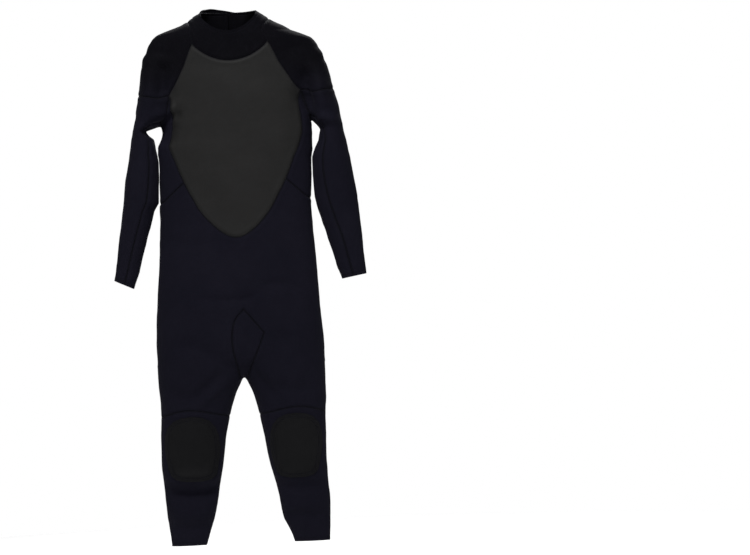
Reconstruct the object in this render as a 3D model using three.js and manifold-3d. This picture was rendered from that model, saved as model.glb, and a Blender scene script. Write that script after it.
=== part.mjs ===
// Full-length wetsuit with a back zip, hanging from its neck and shoulders.
// Millimetres, +Z up. The front of the suit faces -Y and the wearer's left side is +X.
// The origin is on the centre line, level with the inside of the shoulders, where a hanger carries the suit.
import * as THREE from "three";
import { mergeVertices } from "three/addons/utils/BufferGeometryUtils.js";
import Module from "manifold-3d";

const wasm = await Module();
wasm.setup();

// ---- driving dimensions ----
const wall = 3.5; // neoprene with its lining
const seamGap = 0.4; // clearance left between two panels that are sewn edge to edge
const far = 400; // past the suit in any direction
const bodySides = 26;
const limbSides = 16;
const crotchZ = -985;
const ankleZ = -1456;
const zipTopZ = -118;
const zipBottomZ = -484;
const slotHalf = 4.5; // half of the gap between the back panels that the zip fills
const backY = 70; // the centre back runs straight down this line, so that the zip is straight

// Hinges of the soft suit: where it bends, and how far (degrees).
const shoulder = { x: 256, z: -310, tilt: 44, swing: 60 };
const elbow = { x: 273, z: -492, tilt: 9, swing: 90 };
const hip = { x: 116, z: crotchZ, tilt: 25, swing: 50 };
const knee = { x: 146, z: -1185, tilt: 0, swing: 90 };

// Cross-sections from top to bottom: centre x, height z, half width, half depth.
const torsoRings = [
  [0, 56, 62, 51],
  [0, 36, 74, 54],
  [0, 6, 114, 59],
  [0, -12, 162, 63],
  [0, -31, 203, 67],
  [0, -60, 229, 69],
  [0, -104, 232, backY],
  [0, -210, 219, backY],
  [0, -270, 212, backY],
  [0, -400, 210, backY],
  [0, -500, 208, backY],
  [0, -660, 217, 72],
  [0, -770, 227, 74],
  [0, -880, 232, 72],
  [0, -950, 231, 66],
];
const legRings = [
  [100, -780, 124, 64],
  [103, -880, 127, 66],
  [115.5, crotchZ, 116.5, 63],
  [125, -1019, 106, 59],
  [132, -1064, 98, 54],
  [145, -1185, 85, 44],
  [152, -1266, 76, 38],
  [163, -1385, 62, 29],
  [172, ankleZ, 46, 23],
];
const sleeveRings = [
  [140, -95, 66, 50],
  [192, -136, 78, 58],
  [228, -202, 51, 58],
  [252, -275, 42, 55],
  [262, -340, 40, 51],
  [267, -430, 47, 46],
  [275, -504, 48, 42],
  [290, -571, 43, 36],
  [307, -652, 36, 28],
  [319, -708, 31, 22],
];

// Seams, as a sewer would chalk them on the front or the back: [x, z] on the wearer's left.
const collarSide = [
  [100, -5],
  [116, 25],
];
const sideCross = [
  [200, -490],
  [218, -498],
];
const armpit = [
  [204, -260],
  [206.5, -284],
  [213.4, -286.5],
];
const chestPoint = [184, -199];
const seams = {
  front: [
    [[102, -55], ...collarSide],
    [[102, -55], chestPoint],
    [chestPoint, ...armpit],
    [[139.5, -438], ...sideCross],
    [[211, -275], [228, -350], [240, -437], [262, -512], [288, -585], [305, -655], [324, -735]],
  ],
  back: [
    [[-1, -119], [75, -22], ...collarSide],
    [[75, -22], [178, -205]],
    [[178, -205], ...armpit],
    [[178, -205], [166, -300], [152, -382], [138, -460], [136, -507], [141, -552], [152, -619],
      [171, -717], [192, -801], [207, -885], [224, -943], [244, -975]],
    [[-1, -583], [75, -571], [137, -545], ...sideCross],
    [[211, -275], [240, -300], [266, -352], [284, -408], [299, -478], [313, -560], [327, -645], [338, -725]],
  ],
};
const neckArc = { z: 24, radius: 129, halfWidth: 102 }; // front neckline, part of a circle
const chestEdge = [[184, -199], [178, -290], [165, -367], [143, -437], [116, -485], [74, -540], [38, -580], [0, -597]];
const gussetFront = {
  left: [[10, -798], [66, -865], [10, -984], [10, -1014]],
  right: [[10, -798], [-24, -880], [-10, -984], [-10, -1014]],
};
const gussetBack = [[0, -905], [28, -935], [10, -984], [10, -1014]];

// ---- shapes and solids ----
// Any closed three.js geometry as a solid that can be joined and cut.
function solid(geometry) {
  const bare = geometry.clone();
  bare.deleteAttribute("normal");
  bare.deleteAttribute("uv");
  const merged = mergeVertices(bare, 1e-3);
  return new wasm.Manifold(
    new wasm.Mesh({
      numProp: 3,
      vertProperties: merged.attributes.position.array,
      triVerts: new Uint32Array(merged.index.array),
    }),
  );
}

function joined(solids) {
  return solids.reduce((all, one) => all.add(one));
}

function outline(points) {
  return new THREE.Shape(points.map(([x, y]) => new THREE.Vector2(x, y)));
}

const mirrored = (points) => points.map(([x, z]) => [-x, z]);

// A smooth line through the points, for a seam that curves.
function smooth(points, steps = 2) {
  const curve = new THREE.SplineCurve(points.map(([x, z]) => new THREE.Vector2(x, z)));
  return curve.getPoints((points.length - 1) * steps).map((p) => [p.x, p.y]);
}

// An outline drawn in the XZ plane, as thick along Y as the span from y0 to y1.
function throughY(shape, y0, y1) {
  const geometry = new THREE.ExtrudeGeometry(shape, { depth: y1 - y0, bevelEnabled: false });
  geometry.rotateX(Math.PI / 2).translate(0, y1, 0);
  return solid(geometry);
}

const frontOnly = (shape) => throughY(shape, -far, 0.2);
const backOnly = (shape) => throughY(shape, -0.2, far);

// A box between two corners.
function block([x0, y0, z0], [x1, y1, z1]) {
  const geometry = new THREE.BoxGeometry(x1 - x0, y1 - y0, z1 - z0);
  geometry.translate((x0 + x1) / 2, (y0 + y1) / 2, (z0 + z1) / 2);
  return solid(geometry);
}

// A thin knife that follows a seam.
function blade(points, half) {
  const path = points.map(([x, z]) => new THREE.Vector2(x, z));
  const run = seamGap / path[0].distanceTo(path[1]);
  path[0].lerp(path[1], -run); // a little past each end, so that seams that meet do join
  const last = path.length - 1;
  path[last].lerp(path[last - 1], -seamGap / path[last].distanceTo(path[last - 1]));
  const sides = [[], []];
  path.forEach((p, i) => {
    const before = path[Math.max(i - 1, 0)];
    const after = path[Math.min(i + 1, path.length - 1)];
    const along = after.clone().sub(before).normalize();
    const across = new THREE.Vector2(-along.y, along.x).multiplyScalar(seamGap / 2);
    sides[0].push(p.clone().add(across));
    sides[1].unshift(p.clone().sub(across));
  });
  return half(new THREE.Shape([...sides[0], ...sides[1]]));
}

// A closed tube through the rings. A level tube keeps its sections flat; otherwise they turn with its path.
function tube(rings, { inset = 0, side = 1, sides = limbSides, power = 2.2, y = 0, level = true, past = 0, steps = 1 }) {
  const vectors = (pick) => new THREE.CatmullRomCurve3(rings.map((r) => new THREE.Vector3(...pick(r))));
  const centres = vectors(([x, z]) => [x, 0, z]);
  const halves = vectors(([, , width, depth]) => [width, 0, depth]);
  const stations = (rings.length - 1) * steps;
  const geometry = new THREE.CylinderGeometry(1, 1, 1, sides, stations);
  const position = geometry.attributes.position;
  const curl = (v) => Math.sign(v) * Math.abs(v) ** (2 / power);
  for (let i = 0; i < position.count; i++) {
    const t = 0.5 - position.getY(i);
    const centre = centres.getPoint(t);
    const tangent = centres.getTangent(t);
    const half = halves.getPoint(t);
    const radius = Math.hypot(position.getX(i), position.getZ(i));
    const angle = Math.atan2(position.getX(i), position.getZ(i));
    const across = level ? new THREE.Vector3(1, 0, 0) : new THREE.Vector3(-tangent.z, 0, tangent.x);
    const down = level ? new THREE.Vector3(0, 0, -1) : tangent;
    if (radius < 0.5) position.setXYZ(i, 0, 0, 0);
    const u = radius < 0.5 ? 0 : (half.x - inset) * curl(Math.sin(angle));
    const v = radius < 0.5 ? 0 : (half.z - inset) * curl(Math.cos(angle));
    const shift = t > 0.999 ? past : t < 0.001 ? -past : 0;
    centre.addScaledVector(across, u).addScaledVector(down, shift);
    position.setXYZ(i, side * centre.x, y - v, centre.z);
  }
  const made = side < 0 ? flipped(geometry) : geometry;
  return solid(made);
}

// Turns every face round.
function flipped(geometry) {
  const index = geometry.index.array;
  for (let i = 0; i < index.length; i += 3) [index[i + 1], index[i + 2]] = [index[i + 2], index[i + 1]];
  return geometry;
}

// The suit's outer form, smaller by inset all round and longer by past at its open ends.
const torsoForm = (inset, past = 0) => tube(torsoRings, { inset, sides: bodySides, power: 2.3, past });
const legForm = (side, inset, past = 0) => tube(legRings, { inset, side, past });
const sleeveForm = (side, inset, past = 0) =>
  tube(sleeveRings, { inset, side, power: 2, y: -6, level: false, past });

function suitForm(inset, past = 0) {
  const limbs = [-1, 1].flatMap((side) => [legForm(side, inset, past), sleeveForm(side, inset, past)]);
  return joined([torsoForm(inset), ...limbs]);
}

// A sheet that follows the torso between two depths below its surface (negative is above it).
const torsoLayer = (outer, inner) => torsoForm(outer, 2).subtract(torsoForm(inner, 6));

// A V-shaped gap that lets the part below the pivot fold towards foldSide by the given angle.
function foldGap(pivot, up, foldSide, angle, reach, halfLength, slit = 1) {
  const rise = reach * Math.tan(THREE.MathUtils.degToRad(angle / 2));
  const profile = outline([
    [-reach, -slit], [0, -slit], [reach, -slit - rise], [reach, slit + rise], [0, slit], [-reach, slit],
  ]);
  const geometry = new THREE.ExtrudeGeometry(profile, { depth: 2 * halfLength, bevelEnabled: false });
  geometry.translate(0, 0, -halfLength);
  const across = new THREE.Vector3().crossVectors(foldSide, up);
  const frame = new THREE.Matrix4().makeBasis(foldSide, up, across).setPosition(pivot);
  return solid(geometry.applyMatrix4(frame));
}

// ---- the shell and its panels ----
// The neckline: a round scoop in front, and an edge behind that rises towards the nape.
const scoop = { z: 57, radius: 78 };
const neckCut = (() => {
  const front = new THREE.CylinderGeometry(scoop.radius, scoop.radius, far, 40);
  front.translate(0, -far / 2, scoop.z);
  const behind = outline([[-0.1, 36], [20, 42], [60, 48], [far, 52], [far, 200], [-0.1, 200]]);
  const geometry = new THREE.ExtrudeGeometry(behind, { depth: 2 * far, bevelEnabled: false });
  geometry.translate(0, 0, -far);
  const sideways = new THREE.Matrix4().makeBasis(
    new THREE.Vector3(0, 1, 0),
    new THREE.Vector3(0, 0, 1),
    new THREE.Vector3(1, 0, 0),
  );
  return solid(front).add(solid(geometry.applyMatrix4(sideways)));
})();

const zipSlot = block([-slotHalf, 0, zipBottomZ - 7], [slotHalf, far, 90]);
const shell = suitForm(0).subtract(suitForm(wall, 12)).subtract(neckCut).subtract(zipSlot);

function seamBlades() {
  const blades = [];
  for (const flip of [(p) => p, mirrored]) {
    for (const seam of seams.front) blades.push(blade(flip(seam.length > 5 ? smooth(seam) : seam), frontOnly));
    for (const seam of seams.back) blades.push(blade(flip(seam.length > 5 ? smooth(seam) : seam), backOnly));
    blades.push(blade(flip(smooth(chestEdge)), frontOnly));
    blades.push(blade(flip(gussetBack), backOnly));
  }
  const arcSteps = 16;
  const { z, radius, halfWidth } = neckArc;
  const arc = Array.from({ length: arcSteps + 1 }, (_, i) => {
    const x = halfWidth * (1 - (2 * i) / arcSteps);
    return [x, z - Math.sqrt(radius ** 2 - x ** 2)];
  });
  blades.push(blade(arc, frontOnly));
  blades.push(blade(gussetFront.left, frontOnly), blade(gussetFront.right, frontOnly));
  blades.push(block([-seamGap / 2, 0, -906], [seamGap / 2, far, zipBottomZ - 6])); // centre back seam
  for (const [x0, x1, top] of [[10, 150, -975], [205, 270, -920]]) {
    // inside and outside leg seams
    blades.push(block([x0, -seamGap / 2, ankleZ - 20], [x1, seamGap / 2, top]));
    blades.push(block([-x1, -seamGap / 2, ankleZ - 20], [-x0, seamGap / 2, top]));
  }
  return blades;
}

const forwards = new THREE.Vector3(0, -1, 0);
const backwards = new THREE.Vector3(0, 1, 0);
const pivot = (joint, side, y = 0) => new THREE.Vector3(side * joint.x, y, joint.z);
function limbUp(joint, side) {
  const tilt = THREE.MathUtils.degToRad(joint.tilt);
  return new THREE.Vector3(-side * Math.sin(tilt), 0, Math.cos(tilt));
}

function shoulderGap(side) {
  const up = limbUp(shoulder, side);
  const outward = new THREE.Vector3(side * up.z, 0, Math.abs(up.x));
  const wedge = foldGap(pivot(shoulder, side, -6), up, outward, shoulder.swing, 85, 110, 1.2);
  const armSpace = [[196, -400], [214, -300], [214, -640], [420, -640], [420, -120], [240, -120], [204, -262]];
  const space = side > 0 ? armSpace : mirrored(armSpace).reverse();
  return wedge.intersect(throughY(outline(space), -far, far));
}

function elbowGap(side) {
  return foldGap(pivot(elbow, side, -6), limbUp(elbow, side), forwards, elbow.swing, 75, 57);
}

// Keeps the gaps of one leg out of the other leg.
const legSpace = (side) => (side > 0 ? block([3, -far, -1400], [280, far, -820]) : block([-280, -far, -1400], [-3, far, -820]));

function hipGap(side) {
  const wedge = foldGap(pivot(hip, side), limbUp(hip, side), forwards, hip.swing + 4, 90, 150, 1.6);
  return wedge.intersect(legSpace(side));
}

function kneeGap(side) {
  return foldGap(pivot(knee, side), limbUp(knee, side), backwards, knee.swing, 90, 140).intersect(legSpace(side));
}

function cutLimbs(body) {
  const gaps = [-1, 1].flatMap((side) => [shoulderGap(side), elbowGap(side), hipGap(side), kneeGap(side)]);
  return body.subtract(joined(gaps));
}

const panels = cutLimbs(shell.subtract(joined(seamBlades()))).decompose();

// The panel that lies at a place on the front or the back of the suit.
function panelAt(x, z, where) {
  const probe = where === "front" ? block([x - 3, -far, z - 3], [x + 3, 0, z + 3]) : block([x - 3, 0, z - 3], [x + 3, far, z + 3]);
  const volumes = panels.map((panel) => panel.intersect(probe).volume());
  return panels[volumes.indexOf(Math.max(...volumes))];
}

// ---- materials ----
function material(color, roughness, metalness = 0) {
  return new THREE.MeshStandardMaterial({ color, roughness, metalness });
}
const jersey = material(0x0e0d14, 0.9); // nylon-lined neoprene
const skin = material(0x1d1d1c, 0.75); // embossed skin neoprene of the chest and knees
const tape = material(0x101012, 0.85);
const coil = material(0x2c2c30, 0.5);
const metal = material(0x8a8a8e, 0.35, 1);
const webbing = material(0x161616, 0.9);
const hookLoop = material(0x3a3a3c, 0.95);

const suit = new THREE.Group();

function add(name, manifold, look) {
  const mesh = manifold.getMesh();
  const count = mesh.numVert;
  const points = new Float32Array(count * 3);
  for (let i = 0; i < count; i++) {
    points.set(mesh.vertProperties.subarray(i * mesh.numProp, i * mesh.numProp + 3), i * 3);
  }
  const geometry = new THREE.BufferGeometry();
  geometry.setAttribute("position", new THREE.BufferAttribute(points, 3));
  geometry.setIndex(new THREE.BufferAttribute(mesh.triVerts, 1));
  geometry.computeVertexNormals();
  const node = new THREE.Mesh(geometry, look);
  node.name = name;
  suit.add(node);
}

// ---- panels by name ----
add("chest_panel", panelAt(0, -300, "front"), skin);
add("collar", panelAt(0, -60, "front"), jersey);
add("front_body_panel", panelAt(0, -700, "front"), jersey);
add("crotch_gusset", panelAt(20, -870, "front"), jersey);
for (const [end, side] of [["left", 1], ["right", -1]]) {
  add(`raglan_yoke_${end}`, panelAt(side * 190, -120, "front"), jersey);
  add(`side_panel_${end}`, panelAt(side * 190, -400, "front"), jersey);
  add(`back_panel_${end}`, panelAt(side * 60, -300, "back"), jersey);
  add(`seat_panel_${end}`, panelAt(side * 90, -750, "back"), jersey);
  add(`sleeve_upper_outer_${end}`, panelAt(side * 285, -400, "front"), jersey);
  add(`sleeve_upper_inner_${end}`, panelAt(side * 255, -400, "back"), jersey);
  add(`forearm_outer_${end}`, panelAt(side * 318, -620, "front"), jersey);
  add(`forearm_inner_${end}`, panelAt(side * 290, -620, "back"), jersey);
  add(`thigh_front_${end}`, panelAt(side * 130, -1100, "front"), jersey);
  add(`thigh_back_${end}`, panelAt(side * 130, -1060, "back"), jersey);
  add(`shin_front_${end}`, panelAt(side * 160, -1350, "front"), jersey);
  add(`calf_${end}`, panelAt(side * 160, -1350, "back"), jersey);
}

// ---- knee pads, laid on the shins ----
function kneePadOutline(side) {
  const pad = smooth(
    [[0, 94], [48, 82], [70, 42], [70, -20], [60, -66], [42, -86], [0, -92]], 3);
  const right = pad.map(([x, z]) => [x, z]);
  const left = mirrored(pad).reverse();
  const whole = [...right, ...left.slice(1, -1)].map(([x, z]) => [side * knee.x + x, knee.z + 6 + z]);
  return outline(whole.reverse());
}
for (const [end, side] of [["left", 1], ["right", -1]]) {
  const skinLayer = legForm(side, -2.6).subtract(legForm(side, -0.4, 3));
  const pad = skinLayer.intersect(frontOnly(kneePadOutline(side)));
  const halves = pad.subtract(kneeGap(side)).decompose();
  const [upper, lower] = halves.sort((a, b) => b.boundingBox().max[2] - a.boundingBox().max[2]);
  add(`knee_pad_upper_${end}`, upper, skin);
  add(`knee_pad_lower_${end}`, lower, skin);
}

// ---- back zip ----
const column = (x0, x1, z0, z1) => block([x0, 0, z0], [x1, far, z1]);
const zipTape = { near: 1, far: 18, outer: 4, inner: 5.1 };
const zipCoil = { near: 1, far: 4.2, outer: 0.4, inner: 3.7 };
for (const [end, side] of [["left", 1], ["right", -1]]) {
  const strip = (near, farX, z0, z1) => (side > 0 ? column(near, farX, z0, z1) : column(-farX, -near, z0, z1));
  const tapeColumn = strip(zipTape.near, zipTape.far, zipBottomZ - 10, zipTopZ + 6);
  add(`zip_tape_${end}`, torsoLayer(zipTape.outer, zipTape.inner).intersect(tapeColumn), tape);
  const coilColumn = strip(zipCoil.near, zipCoil.far, zipBottomZ, zipTopZ);
  add(`zip_coil_${end}`, torsoLayer(zipCoil.outer, zipCoil.inner).intersect(coilColumn), coil);
  const stop = strip(zipCoil.near, zipCoil.far, zipTopZ + 0.4, zipTopZ + 5);
  add(`zip_top_stop_${end}`, torsoLayer(-0.2, zipCoil.inner).intersect(stop), metal);
}
add("zip_bottom_stop", block([-3.8, backY - 3.7, zipBottomZ - 6.4], [3.8, backY + 0.8, zipBottomZ - 0.4]), metal);

// the flap behind the zip that keeps water off the back, sewn down along one edge
const flapSheet = torsoLayer(8.5, 11).intersect(column(-34, 23, -503, -64));
const flapHem = torsoLayer(3.8, 9).intersect(column(19, 23, -503, -64));
add("zip_backing_flap", flapSheet.add(flapHem), jersey);

// ---- slider, pull tab and leash ----
const sliderZ = zipTopZ - 11; // the closed slider's middle
const pin = { y: backY + 3.9, z: sliderZ + 2, radius: 1 };

function barAlongX(radius, x0, x1, y, z) {
  const geometry = new THREE.CylinderGeometry(radius, radius, x1 - x0, 16);
  geometry.rotateZ(Math.PI / 2).translate((x0 + x1) / 2, y, z);
  return solid(geometry);
}

const sliderPlate = (y0, y1) => {
  const waist = outline([[-6, -8], [-4, -9.5], [4, -9.5], [6, -8], [6.5, 6], [5, 9.5], [-5, 9.5], [-6.5, 6]]);
  return throughY(waist, y0, y1).translate([0, 0, sliderZ]);
};
const lug = block([-1.2, backY + 1.6, pin.z - 3.4], [1.2, backY + 6.2, pin.z + 3.4]);
const slider = joined([
  sliderPlate(backY + 0.5, backY + 2),
  sliderPlate(backY - 7.2, backY - 5.5),
  block([-0.7, backY - 6, sliderZ + 3], [0.7, backY + 1, sliderZ + 9]),
  lug,
]).subtract(barAlongX(pin.radius + 0.3, -3, 3, pin.y, pin.z));
add("zip_slider", slider, metal);

const tabLength = 30;
const arm = (side) => {
  const x = side > 0 ? [1.6, 4.2] : [-4.2, -1.6];
  return block([x[0], pin.y - 0.9, pin.z - 9], [x[1], pin.y + 0.9, pin.z + 1.6]);
};
const tabPlate = throughY(
  outline([[-4.2, -4.6], [-5.5, -9], [-5.5, -tabLength + 2], [-4, -tabLength], [4, -tabLength], [5.5, -tabLength + 2], [5.5, -9], [4.2, -4.6]].reverse()),
  pin.y - 0.9,
  pin.y + 0.9,
).translate([0, 0, pin.z]);
const tabEye = block([-3.6, pin.y - 3, pin.z - tabLength + 3], [3.6, pin.y + 3, pin.z - tabLength + 6]);
const pullTab = joined([arm(1), arm(-1), tabPlate, barAlongX(pin.radius, -4, 4, pin.y, pin.z)])
  .subtract(tabEye)
  .subtract(block([-1.6, pin.y - 3, pin.z - 5.2], [1.6, pin.y + 3, pin.z - 1.4]));
add("zip_pull_tab", pullTab, metal);

// the webbing leash hangs from the tab, drifts to one side and stands a little off the back
const leashWidth = 22;
const leashThick = 1.8;
const leashRoute = [
  [0, 74.4, -162],
  [-2, 78, -182],
  [-8, 83, -210],
  [-14, 86, -250],
  [-17, 87, -300],
  [-18, 87, -360],
  [-19, 87, -420],
  [-22, 87, -480],
  [-26, 86, -540],
  [-30, 85, -590],
  [-33, 85, -640],
].map((p) => new THREE.Vector3(...p));
const leashPath = new THREE.CatmullRomCurve3(leashRoute);
const strapSection = outline([
  [-leashWidth / 2, -leashThick / 2],
  [leashWidth / 2, -leashThick / 2],
  [leashWidth / 2, leashThick / 2],
  [-leashWidth / 2, leashThick / 2],
]);
const strap = new THREE.ExtrudeGeometry(strapSection, { steps: 24, extrudePath: leashPath, bevelEnabled: false });
add("leash", solid(strap), webbing);

// ---- collar closure ----
const closure = { foot: [-6, -100], head: [24, 34] }; // the sewn edge of the flap
const freeEdge = smooth([closure.head, [-10, 43], [-45, 48], [-68, 40], [-82, 18], [-66, -6], [-27, -62], closure.foot]);
const flapOutline = outline([...freeEdge].reverse());
const band = (outer, inner, shape) => torsoLayer(outer, inner).intersect(backOnly(shape));
const rectangle = (x0, z0, x1, z1) => outline([[x0, z0], [x0, z1], [x1, z1], [x1, z0]].reverse());
const neckEdge = (sheet) => sheet.subtract(neckCut.translate([0, 0, 4]));
add("collar_flap", neckEdge(band(-6.6, -3.4, flapOutline)), jersey);
add("hook_patch", band(-3.1, -1.9, rectangle(-74, 6, -48, 32)), hookLoop);
add("loop_patch", band(-1.6, -0.4, rectangle(-92, 2, -46, 30)), hookLoop);
add("leash_keeper", band(-2.8, -0.4, rectangle(-52, -84, -25, -60)), hookLoop);

export default suit;
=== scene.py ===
import math
import bpy
import bmesh
import numpy as np
from mathutils import Matrix, Vector, noise
from mathutils.bvhtree import BVHTree
from mathutils.kdtree import KDTree


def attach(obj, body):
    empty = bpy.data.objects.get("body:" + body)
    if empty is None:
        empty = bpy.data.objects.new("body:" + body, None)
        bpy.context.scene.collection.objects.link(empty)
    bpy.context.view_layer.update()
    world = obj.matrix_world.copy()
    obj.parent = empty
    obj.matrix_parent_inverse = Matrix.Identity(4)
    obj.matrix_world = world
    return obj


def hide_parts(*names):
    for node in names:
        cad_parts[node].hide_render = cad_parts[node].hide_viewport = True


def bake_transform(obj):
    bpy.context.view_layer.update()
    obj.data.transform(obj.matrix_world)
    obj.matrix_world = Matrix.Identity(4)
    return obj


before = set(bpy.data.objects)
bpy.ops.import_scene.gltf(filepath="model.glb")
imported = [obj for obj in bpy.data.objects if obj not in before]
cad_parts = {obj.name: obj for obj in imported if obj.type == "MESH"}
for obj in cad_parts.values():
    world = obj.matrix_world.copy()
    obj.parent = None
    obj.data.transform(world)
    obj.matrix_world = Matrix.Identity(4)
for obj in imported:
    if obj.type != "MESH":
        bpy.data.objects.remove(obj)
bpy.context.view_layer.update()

# Metres, +Z up. The suit's front faces -Y and the wearer's left side is +X.
# Seams and outlines are chalked flat, as (x, z) in millimetres on the front or on the back.
mm = 0.001
ends = (("left", 1), ("right", -1))


# ---- camera ----
view = {"frameWidth": 2.1, "lean": 2.43, "centre": (0, 0, -0.705), "aside": 0.3788, "below": 0.0042, "away": 9.0}


def makeCamera():
    roll = math.radians(view["lean"])
    right = Vector((math.cos(roll), 0, -math.sin(roll)))
    up = Vector((math.sin(roll), 0, math.cos(roll)))
    back = Vector((0, -1, 0))
    aim = Vector(view["centre"]) + right * view["aside"] - up * view["below"]
    data = bpy.data.cameras.new("camera")
    data.sensor_width = 36
    data.lens = 36 * view["away"] / view["frameWidth"]
    data.clip_end = 60
    camera = bpy.data.objects.new("camera", data)
    turn = Matrix((right, up, back)).transposed().to_4x4()
    camera.matrix_world = Matrix.Translation(aim + back * view["away"]) @ turn
    bpy.context.scene.collection.objects.link(camera)
    bpy.context.scene.camera = camera


makeCamera()


# ---- small helpers ----
def newObject(name, mesh, materials=()):
    obj = bpy.data.objects.new(name, mesh)
    bpy.context.scene.collection.objects.link(obj)
    for material in materials:
        mesh.materials.append(material)
    return obj


def fromBmesh(name, bm, materials=(), smooth=True):
    mesh = bpy.data.meshes.new(name)
    bm.to_mesh(mesh)
    bm.free()
    mesh.polygons.foreach_set("use_smooth", [smooth] * len(mesh.polygons))
    return newObject(name, mesh, materials)


def bake(obj):
    # the object's mesh with its modifiers applied
    depsgraph = bpy.context.evaluated_depsgraph_get()
    mesh = bpy.data.meshes.new_from_object(obj.evaluated_get(depsgraph))
    old = obj.data
    obj.modifiers.clear()
    obj.data = mesh
    bpy.data.meshes.remove(old)


def once(items):
    # each item once, in the order they come in, so that every run is alike
    return list(dict.fromkeys(items))


def withEdgesAndVerts(faces):
    return list(faces) + once(e for f in faces for e in f.edges) + once(v for f in faces for v in f.verts)


def smoothLine(points, steps=3):
    # a curve through the points, as a list of points
    p = np.array(points, float)
    p = np.vstack([2 * p[0] - p[1], p, 2 * p[-1] - p[-2]])
    out = []
    for i in range(1, len(p) - 2):
        a, b, c, d = p[i - 1:i + 3]
        for t in np.linspace(0, 1, steps, endpoint=False):
            bend, curl = 2 * a - 5 * b + 4 * c - d, 3 * b - a - 3 * c + d
            out.append(0.5 * (2 * b + (c - a) * t + bend * t ** 2 + curl * t ** 3))
    out.append(p[-2])
    return [tuple(q) for q in out]


def mirrored(points):
    return [(-x, z) for x, z in points]


# ---- shader node groups, each shared by several materials ----
def group(name, inputs, outputs):
    tree = bpy.data.node_groups.new(name, "ShaderNodeTree")
    for label, kind, value in inputs:
        socket = tree.interface.new_socket(name=label, in_out="INPUT", socket_type=kind)
        if value is not None:
            socket.default_value = value
    for label, kind in outputs:
        tree.interface.new_socket(name=label, in_out="OUTPUT", socket_type=kind)
    return tree, tree.nodes.new("NodeGroupInput"), tree.nodes.new("NodeGroupOutput")


def node(tree, kind, values=None, **settings):
    made = tree.nodes.new(kind)
    for key, value in settings.items():
        setattr(made, key, value)
    for key, value in (values or {}).items():
        made.inputs[key].default_value = value
    return made


def math2(tree, operation, a, b=None, c=None, clamp=False):
    made = node(tree, "ShaderNodeMath", operation=operation, use_clamp=clamp)
    for i, value in enumerate((a, b, c)):
        if value is None:
            continue
        if isinstance(value, (int, float)):
            made.inputs[i].default_value = value
        else:
            tree.links.new(value, made.inputs[i])
    return made.outputs[0]


def remap(tree, value, low, high, toLow=0.0, toHigh=1.0):
    made = node(tree, "ShaderNodeMapRange", interpolation_type="SMOOTHSTEP")
    tree.links.new(value, made.inputs["Value"])
    for key, number in zip(("From Min", "From Max", "To Min", "To Max"), (low, high, toLow, toHigh)):
        made.inputs[key].default_value = number
    return made.outputs["Result"]


def knitGroup():
    # a fine knitted face: columns of stitches that run down the panel, broken up a little
    tree, given, out = group("knit", [("Cloth", "NodeSocketVector", None), ("Pitch", "NodeSocketFloat", 0.0016)],
                             [("Height", "NodeSocketFloat"), ("Tone", "NodeSocketFloat")])
    scale = math2(tree, "DIVIDE", 1.0, given.outputs["Pitch"])
    place = node(tree, "ShaderNodeVectorMath", operation="SCALE")
    tree.links.new(given.outputs["Cloth"], place.inputs[0])
    tree.links.new(scale, place.inputs["Scale"])
    split = node(tree, "ShaderNodeSeparateXYZ")
    tree.links.new(place.outputs[0], split.inputs[0])
    column = math2(tree, "SINE", math2(tree, "MULTIPLY", split.outputs["X"], 2 * math.pi))
    slant = math2(tree, "MULTIPLY", math2(tree, "ABSOLUTE", column), 1.6)
    row = math2(tree, "SINE", math2(tree, "ADD", math2(tree, "MULTIPLY", split.outputs["Z"], 2 * math.pi), slant))
    loops = math2(tree, "MULTIPLY", math2(tree, "ADD", column, 1.2), math2(tree, "ADD", row, 1.6))
    fuzz = node(tree, "ShaderNodeTexNoise", {"Scale": 1.7, "Detail": 2.0})
    tree.links.new(place.outputs[0], fuzz.inputs["Vector"])
    height = math2(tree, "ADD", math2(tree, "MULTIPLY", loops, 0.16), math2(tree, "MULTIPLY", fuzz.outputs[0], 0.35))
    tree.links.new(height, out.inputs["Height"])
    tree.links.new(remap(tree, height, 0.15, 0.95), out.inputs["Tone"])
    return tree


def embossGroup():
    # the skin of smooth neoprene, rolled with a fine mesh of small rounded lozenges
    tree, given, out = group("emboss", [("Cloth", "NodeSocketVector", None), ("Pitch", "NodeSocketFloat", 0.0032)],
                             [("Height", "NodeSocketFloat"), ("Tone", "NodeSocketFloat")])
    scale = math2(tree, "DIVIDE", math.pi, given.outputs["Pitch"])
    place = node(tree, "ShaderNodeVectorMath", operation="SCALE")
    tree.links.new(given.outputs["Cloth"], place.inputs[0])
    tree.links.new(scale, place.inputs["Scale"])
    split = node(tree, "ShaderNodeSeparateXYZ")
    tree.links.new(place.outputs[0], split.inputs[0])
    half = math2(tree, "MULTIPLY", split.outputs["Z"], 0.6)
    one = math2(tree, "ABSOLUTE", math2(tree, "SINE", math2(tree, "ADD", split.outputs["X"], half)))
    two = math2(tree, "ABSOLUTE", math2(tree, "SINE", math2(tree, "SUBTRACT", split.outputs["X"], half)))
    mesh = math2(tree, "MINIMUM", one, two)
    height = remap(tree, mesh, 0.05, 0.6)
    tree.links.new(height, out.inputs["Height"])
    tree.links.new(height, out.inputs["Tone"])
    return tree


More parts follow.
